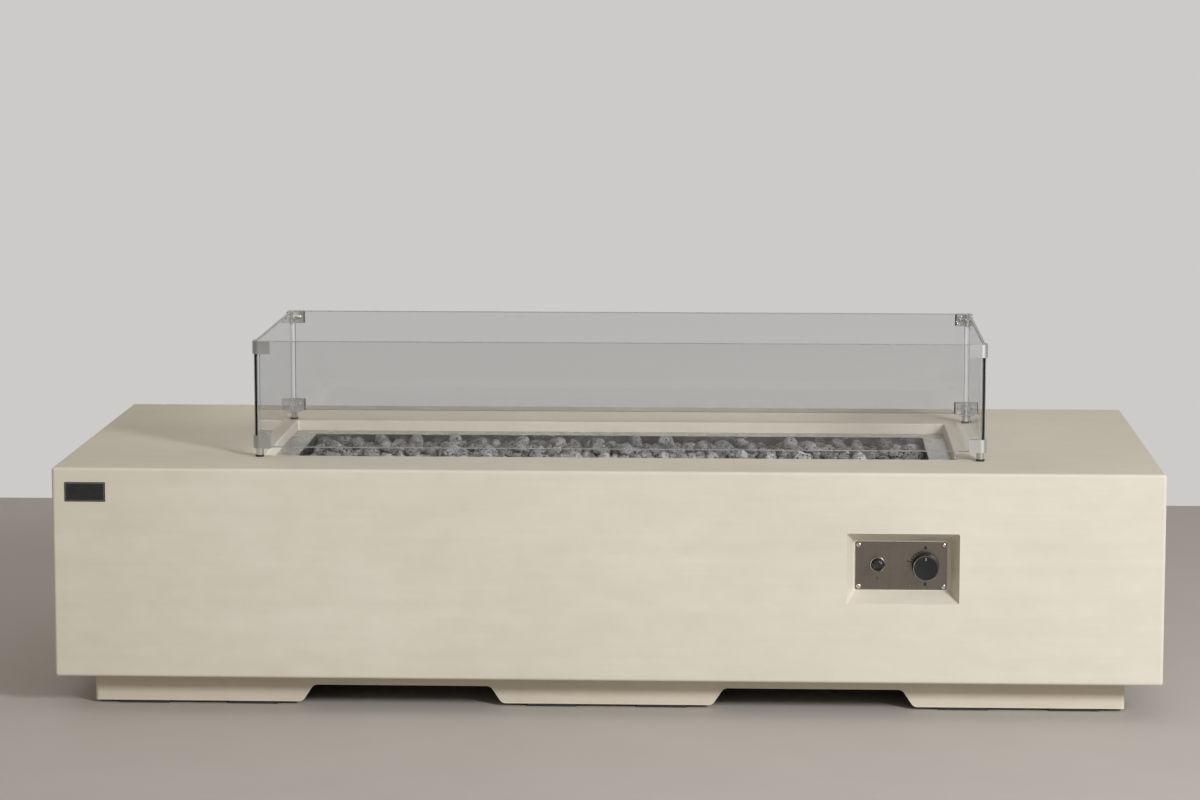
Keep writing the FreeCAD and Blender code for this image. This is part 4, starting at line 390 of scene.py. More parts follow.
def cast_concrete(name, light, dark):
    """Cream concrete: cloudy, faintly streaked along its length, with few fine pores darkened by painted
    shade, and edges lightened partly by rubbing and partly by a painted highlight.
    """
    material, tree, surface = new_finish(name, Specular_IOR_Level=0.35)
    clouds = clouds_of(tree, light, dark, (3.1, 4.0, 5.5), 1.0)
    streaks = clouds_of(tree, grey(1.0), colour(0.955, 0.952, 0.945), (1.3, 5.0, 38.0), 1.1)
    tone = blend_colours(tree, 1.0, clouds["Tone"], streaks["Tone"], "MULTIPLY")
    small = use_group(tree, PORES, pores_per_metre=150.0, share_of_cells=0.055, pore_size=0.13)
    tiny = use_group(tree, PORES, pores_per_metre=620.0, share_of_cells=0.22, pore_size=0.28)
    pits = math_node(tree, "MAXIMUM", small["Pit"], multiply(tree, tiny["Pit"], 0.4))
    # Painted shade: the pits are tinted dark as the shade inside the pores.
    tone = tint(tree, tone, pits, 0.55, colour(0.36, 0.32, 0.25))
    wear_and_highlight = use_group(tree, EDGE_WEAR_AND_HIGHLIGHT, width=0.006, patches_per_metre=35.0)["Worn"]
    # Edges tinted lighter: partly rubbed wear, partly a painted highlight along them.
    tone = tint(tree, tone, wear_and_highlight, 0.5, colour(0.80, 0.76, 0.66))
    tree.links.new(tone, surface.inputs["Base Color"])
    tree.links.new(remap(tree, clouds["Cloud"], 0.0, 1.0, 0.62, 0.78), surface.inputs["Roughness"])
    grain = use_group(tree, SKIN_GRAIN, grains_per_metre=700.0, waves_per_metre=22.0)
    height = math_node(tree, "SUBTRACT", grain["Height"], multiply(tree, pits, 0.9))
    set_relief(tree, surface, height, 0.0006, 0.55)
    return material


def brushed_metal(name, light, dark, lines_per_metre, roughness, relief=0.00006, depth=1.0):
    """Metal with drawn lines that change its tone and gloss, hairline scratches and finger smears."""
    material, tree, surface = new_finish(name, Metallic=1.0)
    line = use_group(tree, DRAWN_LINES, lines_per_metre=lines_per_metre, depth_of_tone=depth)["Line"]
    smudge = use_group(tree, SMUDGES, smudges_per_metre=22.0, dust_on_top=0.2)["Smudge"]
    wear_and_highlight = use_group(tree, EDGE_WEAR_AND_HIGHLIGHT, width=0.0008, patches_per_metre=120.0)["Worn"]
    # Edges tinted lighter: partly rubbed wear, partly a painted highlight along them.
    tone = tint(tree, blend_colours(tree, line, dark, light), wear_and_highlight, 0.5, colour(0.86, 0.85, 0.83))
    tree.links.new(tone, surface.inputs["Base Color"])
    gloss = math_node(tree, "ADD", remap(tree, line, 0.2, 0.8, *roughness), multiply(tree, smudge, 0.10))
    tree.links.new(gloss, surface.inputs["Roughness"])
    scratch = use_group(tree, SCRATCHES, scratches_per_metre=420.0)["Scratch"]
    height = math_node(tree, "SUBTRACT", line, multiply(tree, scratch, 0.5))
    set_relief(tree, surface, height, relief)
    return material


def polished_metal(name, tone, roughness, relief=0.00002):
    """Bright metal with smears, fine scratches and a faint wave in its reflections."""
    material, tree, surface = new_finish(name, Metallic=1.0)
    smudge = use_group(tree, SMUDGES, smudges_per_metre=30.0, dust_on_top=0.35)
    scratch = use_group(tree, SCRATCHES, scratches_per_metre=520.0)["Scratch"]
    darker = colour(*(0.9 * part for part in tone[:3]))
    clouds = clouds_of(tree, tone, darker, 25.0, 1.0)
    dusty = tint(tree, clouds["Tone"], smudge["Dust"], 0.35, colour(0.45, 0.43, 0.40))
    tree.links.new(dusty, surface.inputs["Base Color"])
    gloss = math_node(tree, "ADD", multiply(tree, smudge["Smudge"], 0.14), roughness)
    gloss = math_node(tree, "ADD", gloss, multiply(tree, scratch, 0.2))
    tree.links.new(gloss, surface.inputs["Roughness"])
    grain = use_group(tree, SKIN_GRAIN, grains_per_metre=900.0, waves_per_metre=70.0)["Height"]
    height = math_node(tree, "SUBTRACT", grain, multiply(tree, scratch, 0.4))
    set_relief(tree, surface, height, relief)
    return material


def cast_metal(name, light, dark, roughness, relief, metallic=1.0):
    """Rough cast or plated metal: grainy, cloudy, brighter along its edges, partly from rubbing and partly
    from a painted highlight.
    """
    material, tree, surface = new_finish(name, Metallic=metallic)
    clouds = clouds_of(tree, light, dark, 90.0, 1.6)
    wear_and_highlight = use_group(tree, EDGE_WEAR_AND_HIGHLIGHT, width=0.0012, patches_per_metre=150.0)["Worn"]
    # Edges tinted lighter: partly rubbed wear, partly a painted highlight along them.
    tone = tint(tree, clouds["Tone"], wear_and_highlight, 0.45, colour(0.78, 0.77, 0.74))
    tree.links.new(tone, surface.inputs["Base Color"])
    gloss = remap(tree, clouds["Cloud"], 0.0, 1.0, roughness[1], roughness[0])
    tree.links.new(gloss, surface.inputs["Roughness"])
    grain = use_group(tree, SKIN_GRAIN, grains_per_metre=1100.0, waves_per_metre=260.0)["Height"]
    set_relief(tree, surface, grain, relief)
    return material


def moulded_plastic(name, light, dark, roughness, relief, dust, coat=0.0):
    """Moulded plastic: fine skin, rubbed edges that shine, dust on what faces up."""
    material, tree, surface = new_finish(name, Coat_Weight=coat, Coat_Roughness=0.12)
    clouds = clouds_of(tree, light, dark, 60.0, 1.2)
    smudge = use_group(tree, SMUDGES, smudges_per_metre=70.0, dust_on_top=dust)
    wear_and_highlight = use_group(tree, EDGE_WEAR_AND_HIGHLIGHT, width=0.0007, patches_per_metre=220.0)["Worn"]
    tone = tint(tree, clouds["Tone"], smudge["Dust"], 0.12, colour(0.35, 0.33, 0.30))
    tree.links.new(tone, surface.inputs["Base Color"])
    gloss = math_node(tree, "ADD", multiply(tree, smudge["Smudge"], 0.12), roughness)
    gloss = math_node(tree, "SUBTRACT", gloss, multiply(tree, wear_and_highlight, 0.12), clamp=True)
    tree.links.new(gloss, surface.inputs["Roughness"])
    grain = use_group(tree, SKIN_GRAIN, grains_per_metre=2600.0, waves_per_metre=180.0)["Height"]
    set_relief(tree, surface, grain, relief)
    return material


def porous_lava():
    """Grey volcanic stone: open pores of two sizes painted nearly black as their shade, pale dust on top, a
    tone of its own for each stone.
    """
    material, tree, surface = new_finish("porous_lava", Specular_IOR_Level=0.25)
    stone = put(tree, "ShaderNodeNewGeometry").outputs["Random Per Island"]
    tone = blend_colours(tree, stone, colour(0.27, 0.266, 0.266), colour(0.58, 0.572, 0.568))
    clouds = clouds_of(tree, grey(1.0), grey(0.62), 70.0, 1.6)
    tone = blend_colours(tree, 1.0, tone, clouds["Tone"], "MULTIPLY")
    large = use_group(tree, PORES, pores_per_metre=230.0, share_of_cells=0.75, pore_size=0.46)["Pit"]
    small = use_group(tree, PORES, pores_per_metre=520.0, share_of_cells=0.8, pore_size=0.46)["Pit"]
    pits = math_node(tree, "MAXIMUM", large, multiply(tree, small, 0.75))
    depth = math_node(tree, "MULTIPLY", pits, 1.7, clamp=True)
    # Painted shade: the pores are blended towards near black.
    tone = blend_colours(tree, depth, tone, grey(0.018))
    dust = use_group(tree, SMUDGES, smudges_per_metre=60.0, dust_on_top=1.0)["Dust"]
    tone = tint(tree, tone, dust, 0.22, colour(0.42, 0.41, 0.40))
    tree.links.new(tone, surface.inputs["Base Color"])
    tree.links.new(remap(tree, clouds["Cloud"], 0.0, 1.0, 0.98, 0.82), surface.inputs["Roughness"])
    grain = use_group(tree, SKIN_GRAIN, grains_per_metre=1400.0, waves_per_metre=210.0)["Height"]
    height = math_node(tree, "SUBTRACT", grain, multiply(tree, pits, 1.1))
    set_relief(tree, surface, height, 0.0028)
    return material


def tempered_glass(name, density):
    """Slightly grey safety glass: clear across a pane, dark along one, faintly smeared; light passes it."""
    material, tree, surface = new_finish(name, Transmission_Weight=1.0, IOR=1.5, Base_Color=grey(0.99),
                                         Specular_IOR_Level=0.3)
    smudge = use_group(tree, SMUDGES, smudges_per_metre=7.0, dust_on_top=0.4)["Smudge"]
    tree.links.new(multiply(tree, smudge, 0.004), surface.inputs["Roughness"])
    through = put(tree, "ShaderNodeBsdfTransparent", {"Color": grey(0.69)})
    shadow = put(tree, "ShaderNodeLightPath").outputs["Is Shadow Ray"]
    either = put(tree, "ShaderNodeMixShader", {0: shadow, 1: surface.outputs[0], 2: through.outputs[0]})
    inside = put(tree, "ShaderNodeVolumeAbsorption", {"Color": colour(0.480, 0.488, 0.490),
                                                      "Density": density})
    output = tree.nodes["Material Output"]
    tree.links.new(either.outputs[0], output.inputs["Surface"])
    tree.links.new(inside.outputs[0], output.inputs["Volume"])
    return material


def ground_glass():
    """The grey ground chamfer along the edges of a pane."""
    material, tree, surface = new_finish("ground_glass_edge", Transmission_Weight=0.25, IOR=1.5)
    clouds = clouds_of(tree, colour(0.44, 0.45, 0.45), colour(0.30, 0.31, 0.31), 160.0, 1.5)
    tree.links.new(clouds["Tone"], surface.inputs["Base Color"])
    tree.links.new(remap(tree, clouds["Cloud"], 0.0, 1.0, 0.35, 0.55), surface.inputs["Roughness"])
    grain = use_group(tree, SKIN_GRAIN, grains_per_metre=2400.0, waves_per_metre=300.0)["Height"]
    set_relief(tree, surface, grain, 0.00005)
    return material


def shrink_wrap():
    """The dark sleeve of a battery cell, with soft wrinkles round its ends."""
    material, tree, surface = new_finish("shrink_wrap", Coat_Weight=0.5, Coat_Roughness=0.1)
    clouds = clouds_of(tree, colour(0.11, 0.11, 0.135), colour(0.075, 0.075, 0.095),
                       (80.0, 20.0, 80.0), 1.0)
    tree.links.new(clouds["Tone"], surface.inputs["Base Color"])
    tree.links.new(remap(tree, clouds["Cloud"], 0.0, 1.0, 0.3, 0.42), surface.inputs["Roughness"])
    wrinkles = use_group(tree, DRAWN_LINES, lines_per_metre=(60.0, 900.0, 60.0), depth_of_tone=1.0)["Line"]
    set_relief(tree, surface, wrinkles, 0.00012)
    return material


def mineral_finishes():
    return {
        "concrete": cast_concrete("cast_concrete", colour(0.715, 0.667, 0.565),
                                  colour(0.655, 0.605, 0.500)),
        # Painted shade: the plinth gets a darker, warmer copy of the concrete for the warm shade it sits
        # in.
        "foot concrete with painted shade": cast_concrete("cast_concrete_with_painted_warm_shade", colour(0.695, 0.625, 0.500),
                                       colour(0.635, 0.565, 0.445)),
        "lava": porous_lava(),
        "glass": tempered_glass("tempered_glass", 30.0),
        "back glass": tempered_glass("greyer_tempered_glass", 68.0),
        "glass edge": ground_glass(),
        "white_ceramic": moulded_plastic("fired_ceramic", colour(0.88, 0.86, 0.81),
                                         colour(0.80, 0.77, 0.71), 0.28, 0.00008, 0.3, 0.4),
    }


def steel_finishes():
    return {
        "brushed_stainless": brushed_metal("brushed_stainless_steel", colour(0.66, 0.645, 0.625),
                                           colour(0.50, 0.485, 0.465), (2600.0, 2600.0, 60.0),
                                           (0.26, 0.40)),
        "polished_stainless": polished_metal("polished_stainless_steel", colour(0.70, 0.695, 0.68), 0.16),
        "steel": brushed_metal("machined_steel", colour(0.60, 0.60, 0.61), colour(0.44, 0.44, 0.45),
                               (2200.0, 2200.0, 500.0), (0.28, 0.42)),
        "zinc_steel": cast_metal("zinc_plate", colour(0.66, 0.67, 0.68), colour(0.50, 0.51, 0.53),
                                 (0.30, 0.48), 0.00008),
        "chrome": polished_metal("chrome_plate", grey(0.80), 0.05),
        # Painted shade: the control plate's steel gets a dark brown-grey tone for the shade of its recess
        # and the dark room it reflects.
        "plate steel": brushed_metal("brushed_steel_with_painted_shade", colour(0.30, 0.262, 0.225),
                                     colour(0.215, 0.182, 0.153), (1500.0, 1500.0, 14.0), (0.22, 0.30),
                                     0.000012, 0.9),
        "clamp steel": brushed_metal("satin_stainless_steel", colour(0.60, 0.59, 0.575),
                                     colour(0.48, 0.47, 0.455), (120.0, 120.0, 2400.0), (0.46, 0.56),
                                     0.00003, 0.8),
        "bright steel": polished_metal("bright_stainless_steel", colour(0.74, 0.735, 0.72), 0.20),
        "rippled steel": polished_metal("rippled_stainless_steel", colour(0.76, 0.755, 0.745), 0.10,
                                        0.0011),
        "pan steel": brushed_metal("pan_stainless_steel", colour(0.54, 0.532, 0.52),
                                   colour(0.40, 0.393, 0.383), (25.0, 700.0, 700.0), (0.17, 0.28),
                                   0.00005, 0.7),
        # Painted highlight: grey metal for the knob's cut edge, standing in for the highlight on its black
        # rim.
        "edge highlight metal": polished_metal("metal_for_painted_edge_highlight", colour(0.36, 0.36, 0.365), 0.14),
    }


def other_metal_finishes():
    return {
        "brass": brushed_metal("machined_brass", colour(0.76, 0.58, 0.29), colour(0.60, 0.43, 0.19),
                               (1800.0, 1800.0, 700.0), (0.24, 0.40)),
        "cast_aluminium": cast_metal("cast_aluminium_skin", colour(0.64, 0.64, 0.63),
                                     colour(0.48, 0.48, 0.47), (0.42, 0.62), 0.00035),
        "cast_iron": cast_metal("cast_iron_skin", colour(0.22, 0.21, 0.20), colour(0.12, 0.11, 0.105),
                                (0.5, 0.75), 0.0004, 0.6),
        "copper": cast_metal("drawn_copper", colour(0.78, 0.47, 0.33), colour(0.52, 0.28, 0.18),
                             (0.22, 0.45), 0.00005),
        "black_metal": moulded_plastic("black_paint", colour(0.022, 0.022, 0.023),
                                       colour(0.013, 0.013, 0.014), 0.42, 0.00005, 0.3),
    }


def plastic_and_ink_finishes():
    return {
        "black_plastic": moulded_plastic("satin_black_plastic", colour(0.020, 0.021, 0.022),
                                         colour(0.012, 0.0125, 0.013), 0.40, 0.00005, 0.4),
        "nylon": moulded_plastic("white_nylon", colour(0.80, 0.79, 0.75), colour(0.70, 0.69, 0.65),
                                 0.48, 0.00006, 0.5),
        "white_inlay": moulded_plastic("worn_white_paint", colour(0.36, 0.36, 0.355),
                                       colour(0.26, 0.26, 0.255), 0.55, 0.00003, 0.2),
        "battery_wrap": shrink_wrap(),
        "rubber": moulded_plastic("dark_rubber", colour(0.035, 0.034, 0.033), colour(0.020, 0.020, 0.019),
                                  0.72, 0.00012, 0.8),
        "silicone": moulded_plastic("clear_silicone", colour(0.62, 0.63, 0.62), colour(0.50, 0.51, 0.50),
                                    0.4, 0.00004, 0.3),
        "spark_lead": moulded_plastic("red_silicone_sleeve", colour(0.36, 0.055, 0.04),
                                      colour(0.26, 0.035, 0.028), 0.45, 0.00006, 0.3),
        "knob black": moulded_plastic("knob_black", colour(0.0095, 0.010, 0.011),
                                      colour(0.006, 0.0062, 0.007), 0.36, 0.00003, 0.25),
        "dark ink": moulded_plastic("dark_ink", colour(0.010, 0.0095, 0.0095), grey(0.006),
                                    0.6, 0.00001, 0.05),
        "gloss black": moulded_plastic("gloss_black_plastic", colour(0.013, 0.0135, 0.014),
                                       colour(0.008, 0.008, 0.0085), 0.16, 0.00002, 0.15, 0.6),
    }


def make_finishes():
    """One finish for each material slot of the record, and further ones for single pieces."""
    return {**mineral_finishes(), **steel_finishes(), **other_metal_finishes(),
            **plastic_and_ink_finishes()}


def dress_nodes(finishes):
    """Gives every CAD node the finish of its slot, or one of its own."""
    own = {"plinth": "foot concrete with painted shade", "control_plate": "plate steel", "lower_clamps": "clamp steel",
           "upper_clamps": "clamp steel", "guard_legs": "bright steel", "clamp_backs": "rippled steel",
           "burner_pan": "pan steel"}
    for name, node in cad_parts.items():
        for place in node.material_slots:
            place.material = finishes[own.get(name, place.material.name.split(".")[0])]


# Piece tools

def finish_piece(mesh, name, body, material, smooth=True):
    """Makes an object of a mesh in the making, with its finish, and lets it ride on its body."""
    data = bpy.data.meshes.new(name)
    mesh.to_mesh(data)
    mesh.free()
    for face in data.polygons:
        face.use_smooth = smooth
    piece = bpy.data.objects.new(name, data)
    bpy.context.scene.collection.objects.link(piece)
    data.materials.append(material)
    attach(piece, body)
    return piece


def islands(mesh):
    """The separate closed forms of a mesh in the making, each a list of corners."""
    seen = set()
    for start in mesh.verts:
        if start in seen:
            continue
        seen.add(start)
        found, to_visit = [start], [start]
        while to_visit:
            for edge in to_visit.pop().link_edges:
                for corner in edge.verts:
                    if corner not in seen:
                        seen.add(corner)
                        found.append(corner)
                        to_visit.append(corner)
        yield found


def merged_copy(name):
    """A mesh in the making with the shape of a CAD node, its loose faces joined."""
    mesh = bmesh.new()
    mesh.from_mesh(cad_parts[name].data)
    bmesh.ops.remove_doubles(mesh, verts=mesh.verts, dist=MERGE_DISTANCE)
    bmesh.ops.recalc_face_normals(mesh, faces=mesh.faces)
    return mesh


def join_flat_faces(mesh):
    bmesh.ops.dissolve_limit(mesh, angle_limit=math.radians(1), verts=mesh.verts, edges=mesh.edges)


def turned(mesh, profile, middle, axis, steps):
    """Turns a profile of (radius, height) points round an axis through a middle."""
    axis = Vector(axis)
    side = axis.orthogonal().normalized()
    corners = [mesh.verts.new(middle + side * radius + axis * height) for radius, height in profile]
    edges = [mesh.edges.new(pair) for pair in zip(corners, corners[1:])]
    bmesh.ops.spin(mesh, geom=corners + edges, cent=middle, axis=axis, angle=2 * math.pi, steps=steps,
                   use_merge=True)


def close_turned(mesh):
    bmesh.ops.remove_doubles(mesh, verts=mesh.verts, dist=TURNED_MERGE_DISTANCE)
    bmesh.ops.recalc_face_normals(mesh, faces=mesh.faces)


# Lava stones

def shape_stone(corners, dice, low, high):
    """Rounds a faceted stone, gives it lumps and a lie of its own, and keeps it in the pan on the grate."""
    middle = sum((corner.co for corner in corners), Vector()) / len(corners)
    lowest = min(corner.co.z for corner in corners)
    reach = sum((corner.co - middle).length for corner in corners) / len(corners)
    offset = Vector((dice.uniform(-50, 50), dice.uniform(-50, 50), dice.uniform(-50, 50)))
    loose = middle.z > LOOSE_STONE_HEIGHT
    size = dice.uniform(*(LOOSE_STONE_SIZES if loose else STONE_SIZES))
    raised = dice.uniform(*(LOOSE_STONE_RAISES if loose else STONE_RAISES))
    shift = LOOSE_STONE_SHIFT if loose else STONE_SHIFT
    moved = Vector((dice.uniform(-shift, shift), dice.uniform(-shift, shift), raised))
    turn = Matrix.Rotation(dice.uniform(0.0, math.pi), 3, "Z")
    longer = dice.uniform(1.0, STONE_LONGEST)
    stretch = turn @ Matrix.Diagonal((longer, 1 / math.sqrt(longer), 1.0)) @ turn.transposed()
    for corner in corners:
        way = corner.co - middle
        length = way.length * (1 - STONE_ROUNDING) + reach * STONE_ROUNDING
        lump = noise.noise(way.normalized() * STONE_LUMP_SCALE + offset)
        swelling = 1 + STONE_LUMPS * 2 * lump
        place = middle + moved + stretch @ way.normalized() * length * size * swelling
        corner.co.x = min(max(place.x, low.x), high.x)
        corner.co.y = min(max(place.y, low.y), high.y)
        corner.co.z = min(max(place.z, lowest), STONE_TOP)


def lava_stones(finishes):
    """Four groups of rounded, uneven stones in place of the plain ones."""
    dice = random.Random(STONE_SEED)
    names = [f"lava_rocks_{number}" for number in range(1, 5)]
    boxes = [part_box(name) for name in names]
    low = Vector(min(box[0][way] for box in boxes) for way in range(3))
    high = Vector(max(box[1][way] for box in boxes) for way in range(3))
    for name in names:
        stones = merged_copy(name)
        bmesh.ops.subdivide_edges(stones, edges=stones.edges, cuts=1, use_grid_fill=True)
        for corners in list(islands(stones)):
            shape_stone(corners, dice, low, high)
        piece = finish_piece(stones, name.replace("rocks", "stones"), "table", finishes["lava"])
        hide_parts(name)


# Glass and screws

def grind_back_ends(pane, side, low, high):
    """Marks the upright end faces of a pane that meet at a back corner as ground."""
    across = side == "back"
    for face in pane.faces:
        if abs(face.normal[0 if across else 1]) > 0.9:
            middle = face.calc_center_median()
            if across or middle.y > (low.y + high.y) / 2:
                face.material_index = 1


def at_box_corner(corner, low, high):
    return all(min(abs(corner.co[way] - low[way]), abs(corner.co[way] - high[way])) < CORNER_TOLERANCE
               for way in range(3))


def glass_panes(finishes):
    """The four panes of the guard, with a ground chamfer along their outer edges."""
    for side in ("front", "back", "left", "right"):
        name = f"glass_{side}"
        pane = merged_copy(name)
        join_flat_faces(pane)
        low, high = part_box(name)
        corners = [corner for corner in pane.verts if at_box_corner(corner, low, high)]
        rim = [edge for edge in pane.edges if edge.verts[0] in corners and edge.verts[1] in corners]
        cut = bmesh.ops.bevel(pane, geom=rim, offset=GLASS_CHAMFER, offset_type="OFFSET", segments=1,
                              profile=0.5, affect="EDGES", material=-1)
        for face in cut["faces"]:
            face.material_index = 1
        if side != "front":
            grind_back_ends(pane, side, low, high)
        glass = finishes["back glass" if side == "back" else "glass"]
        piece = finish_piece(pane, f"guard_glass_{side}", "guard", glass, smooth=False)
        piece.data.materials.append(finishes["glass edge"])
        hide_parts(name)


def screw_profile(radius, height, socket):
    """A domed head with a round socket, from the rim at its seat to the middle of the socket."""
    return [(0.0, 0.0), (radius, 0.0), (radius, height * 0.25), (radius * 0.93, height * 0.58),
            (radius * 0.75, height * 0.84), (radius * 0.5, height), (socket, height * 1.02),
            (socket, height * 0.45), (0.0, height * 0.38)]


def domed_screws(name, node, body, finish, outward, shank_radius):
    """Domed screws in place of a node's plain ones; outward gives a head's way from the screw's box."""
    plain = merged_copy(node)
    join_flat_faces(plain)
    screws = bmesh.new()
    for corners in islands(plain):
        low = Vector(min(corner.co[way] for corner in corners) for way in range(3))
        high = Vector(max(corner.co[way] for corner in corners) for way in range(3))
        out = outward(low, high)
        way = 0 if abs(out.x) > 0.5 else 1
        radius = (high - low)[1 - way] / 2
        length = (high - low)[way]
        shank_end = SCREW_HEAD_HEIGHT - length
        seat = (low + high) / 2 + out * (length / 2 - SCREW_HEAD_HEIGHT)
        head = screw_profile(radius, SCREW_HEAD_HEIGHT, radius * SOCKET_SHARE)
        turned(screws, head, seat, out, HEAD_STEPS)
        shank = [(0.0, shank_end), (shank_radius, shank_end), (shank_radius, SHANK_IN_HEAD),
                 (0.0, SHANK_IN_HEAD)]
        turned(screws, shank, seat, out, SHANK_STEPS)
    plain.free()
    close_turned(screws)
    piece = finish_piece(screws, name, body, finish)
    piece.data.set_sharp_from_angle(angle=SHARP_ANGLE)
    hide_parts(node)


def guard_and_plate_screws(finishes):
    """The screws of the clamps' inner plates, which face into the guard, and those of the control plate."""
    low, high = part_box("clamp_screws")
    middle = (low + high) / 2

    def into_guard(near, far):
        way = 0 if far.x - near.x > far.y - near.y else 1
        out = Vector((0, 0, 0))
        out[way] = -1 if (near[way] + far[way]) / 2 > middle[way] else 1
        return out

    def forward(near, far):
        return Vector((0, -1, 0))

    domed_screws("clamp_screw_heads", "clamp_screws", "guard", finishes["chrome"], into_guard,
                 CLAMP_SHANK_RADIUS)
    domed_screws("plate_screw_heads", "plate_screws", "table", finishes["bright steel"],
                 forward, PLATE_SHANK_RADIUS)


# Knob, igniter and springs

def knob_profile(skirt, body, depth):
    """Half the knob's section, from the end of its bore round its hollow back and skirt to its face."""
    bore_end = depth - STEM_BORE_FROM_FACE
    return [(0.0, bore_end), (STEM_BORE_RADIUS, bore_end), (STEM_BORE_RADIUS, KNOB_HOLLOW_DEPTH),
            (KNOB_HOLLOW_RADIUS, KNOB_HOLLOW_DEPTH), (KNOB_HOLLOW_RADIUS, 0.0), (skirt - 0.0004, 0.0),
            (skirt, 0.0004), (skirt, 0.0022), (skirt - 0.0004, 0.0027), (body, 0.0030),
            (body, depth - KNOB_CUT_EDGE), (body - 0.0002, depth - KNOB_CUT_DEPTH),
            (body - 0.0011, depth - 0.0001), (body - 0.0014, depth - 0.00015),
            (0.0115, depth - 0.0002), (0.0065, depth - 0.0005), (0.0, depth - 0.0007)]


def control_knob(finishes):
    """A satin black knob with a skirt, a grey metal band on its cut edge standing in for the highlight on
    its glossy black rim, a slightly dished face and a hollow back.
    """
    low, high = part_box("control_knob")
    middle = Vector((KNOB_MIDDLE.x, high.y, KNOB_MIDDLE.z))
    skirt, depth = (high.x - low.x) / 2, high.y - low.y
    body = skirt - KNOB_BODY_IN_SKIRT
    knob = bmesh.new()
    turned(knob, knob_profile(skirt, body, depth), middle, (0, -1, 0), KNOB_STEPS)
    close_turned(knob)
    # Painted highlight: the cut edge gets a grey metal finish in place of the highlight on the black
    # plastic rim.
    for face in knob.faces:
        place = face.calc_center_median()
        out = math.hypot(place.x - middle.x, place.z - middle.z)
        if out > body - KNOB_CUT_EDGE and depth - KNOB_CUT_DEPTH < middle.y - place.y < depth:
            face.material_index = 1
    piece = finish_piece(knob, "knob_with_cut_edge", "knob", finishes["knob black"])
    piece.data.materials.append(finishes["edge highlight metal"])
    piece.data.set_sharp_from_angle(angle=SHARP_ANGLE)
    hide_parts("control_knob")


def turned_on_igniter(name, node, body, finish, profile):
    """A piece turned round the igniter's axis in place of a node, with a profile of its own."""
    low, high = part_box(node)
    middle = Vector((IGNITER_MIDDLE.x, high.y, IGNITER_MIDDLE.z))
    mesh = bmesh.new()
    turned(mesh, profile((high.x - low.x) / 2, high.y - low.y), middle, (0, -1, 0), IGNITER_STEPS)
    close_turned(mesh)
    piece = finish_piece(mesh, name, body, finish)
    piece.data.set_sharp_from_angle(angle=IGNITER_SHARP_ANGLE)
    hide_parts(node)


def bezel_profile(outer, height):
    """A ring with a rolled lip."""
    inner = BEZEL_MOUTH_RADIUS
    return [(inner, 0.0), (outer, 0.0), (outer, height * 0.45), (outer - 0.0003, height * 0.72),
            (outer - 0.0009, height * 0.93), (outer - 0.0014, height), (outer - 0.0019, height * 0.95),
            (inner + 0.0003, height * 0.72), (inner, height * 0.55), (inner, 0.0)]


def cap_profile(flange, depth):
    """A cap on a flange, with a rounded rim and a dished face."""
    side = flange - CAP_IN_FLANGE
    return [(0.0, 0.0), (flange, 0.0), (flange, 0.0018), (side, 0.0022), (side, depth - 0.0020),
            (side - 0.0002, depth - 0.0011), (side - 0.0008, depth - 0.0004), (side - 0.0016, depth),
            (side - 0.0022, depth - 0.0001), (0.0045, depth - 0.0006), (0.0, depth - 0.0008)]


def igniter(finishes):
    turned_on_igniter("igniter_bezel_ring", "igniter_bezel", "table", finishes["chrome"],
                      bezel_profile)
    turned_on_igniter("igniter_cap", "igniter_button", "button", finishes["gloss black"],
                      cap_profile)


def coil_spring(node, name, wire_radius, finishes):
    """A coil spring in place of its plain sleeve."""
    low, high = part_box(node)
    middle = (low + high) / 2
    length = high.y - low.y - 2 * wire_radius
    turns = round(length / SPRING_PITCH)
    steps = STEPS_PER_TURN * turns
    start = Matrix.Translation((high.x - wire_radius, low.y + wire_radius, middle.z))
    coil = bmesh.new()
    wire = bmesh.ops.create_circle(coil, cap_ends=False, segments=WIRE_SIDES, radius=wire_radius,
                                   matrix=start)
    rim = list({edge for corner in wire["verts"] for edge in corner.link_edges})
    bmesh.ops.spin(coil, geom=wire["verts"] + rim, cent=middle, axis=(0, 1, 0),
                   dvec=(0, length / steps, 0), angle=2 * math.pi * turns, steps=steps)
    bmesh.ops.holes_fill(coil, edges=coil.edges, sides=0)
    bmesh.ops.recalc_face_normals(coil, faces=coil.faces)
    piece = finish_piece(coil, name, "table", finishes["steel"])
    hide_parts(node)
    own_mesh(piece)


# Printed marks

def on_plate(across, up):
    """Turns a flat shape to face forward at a place on the control plate."""
    return Matrix.Translation((across, PLATE_FRONT, up)) @ Matrix.Rotation(math.pi / 2, 4, "X")


def raise_print(mesh):
    """Gives flat print its thin coat of ink, out from the plate."""
    grown = bmesh.ops.extrude_face_region(mesh, geom=mesh.faces[:])
    corners = [part for part in grown["geom"] if isinstance(part, bmesh.types.BMVert)]
    bmesh.ops.translate(mesh, verts=corners, vec=(0, -PRINT_THICKNESS, 0))
    bmesh.ops.recalc_face_normals(mesh, faces=mesh.faces[:])


def print_in_ink(mesh, name, finishes):
    raise_print(mesh)
    finish_piece(mesh, name, "table", finishes["dark ink"], smooth=False)


def drop_shape(mesh, across, up):
    """A flat drop with its point up."""
    drop = bmesh.ops.create_circle(mesh, cap_ends=True, segments=24, radius=DROP_RADIUS,
                                   matrix=on_plate(across, up))
    for corner in drop["verts"]:
        above = min((corner.co.z - up) / DROP_RADIUS, 1.0)
        if above > 0:
            corner.co.x = across + (corner.co.x - across) * (1 - above) ** 0.6
            corner.co.z = up + above * DROP_LENGTH


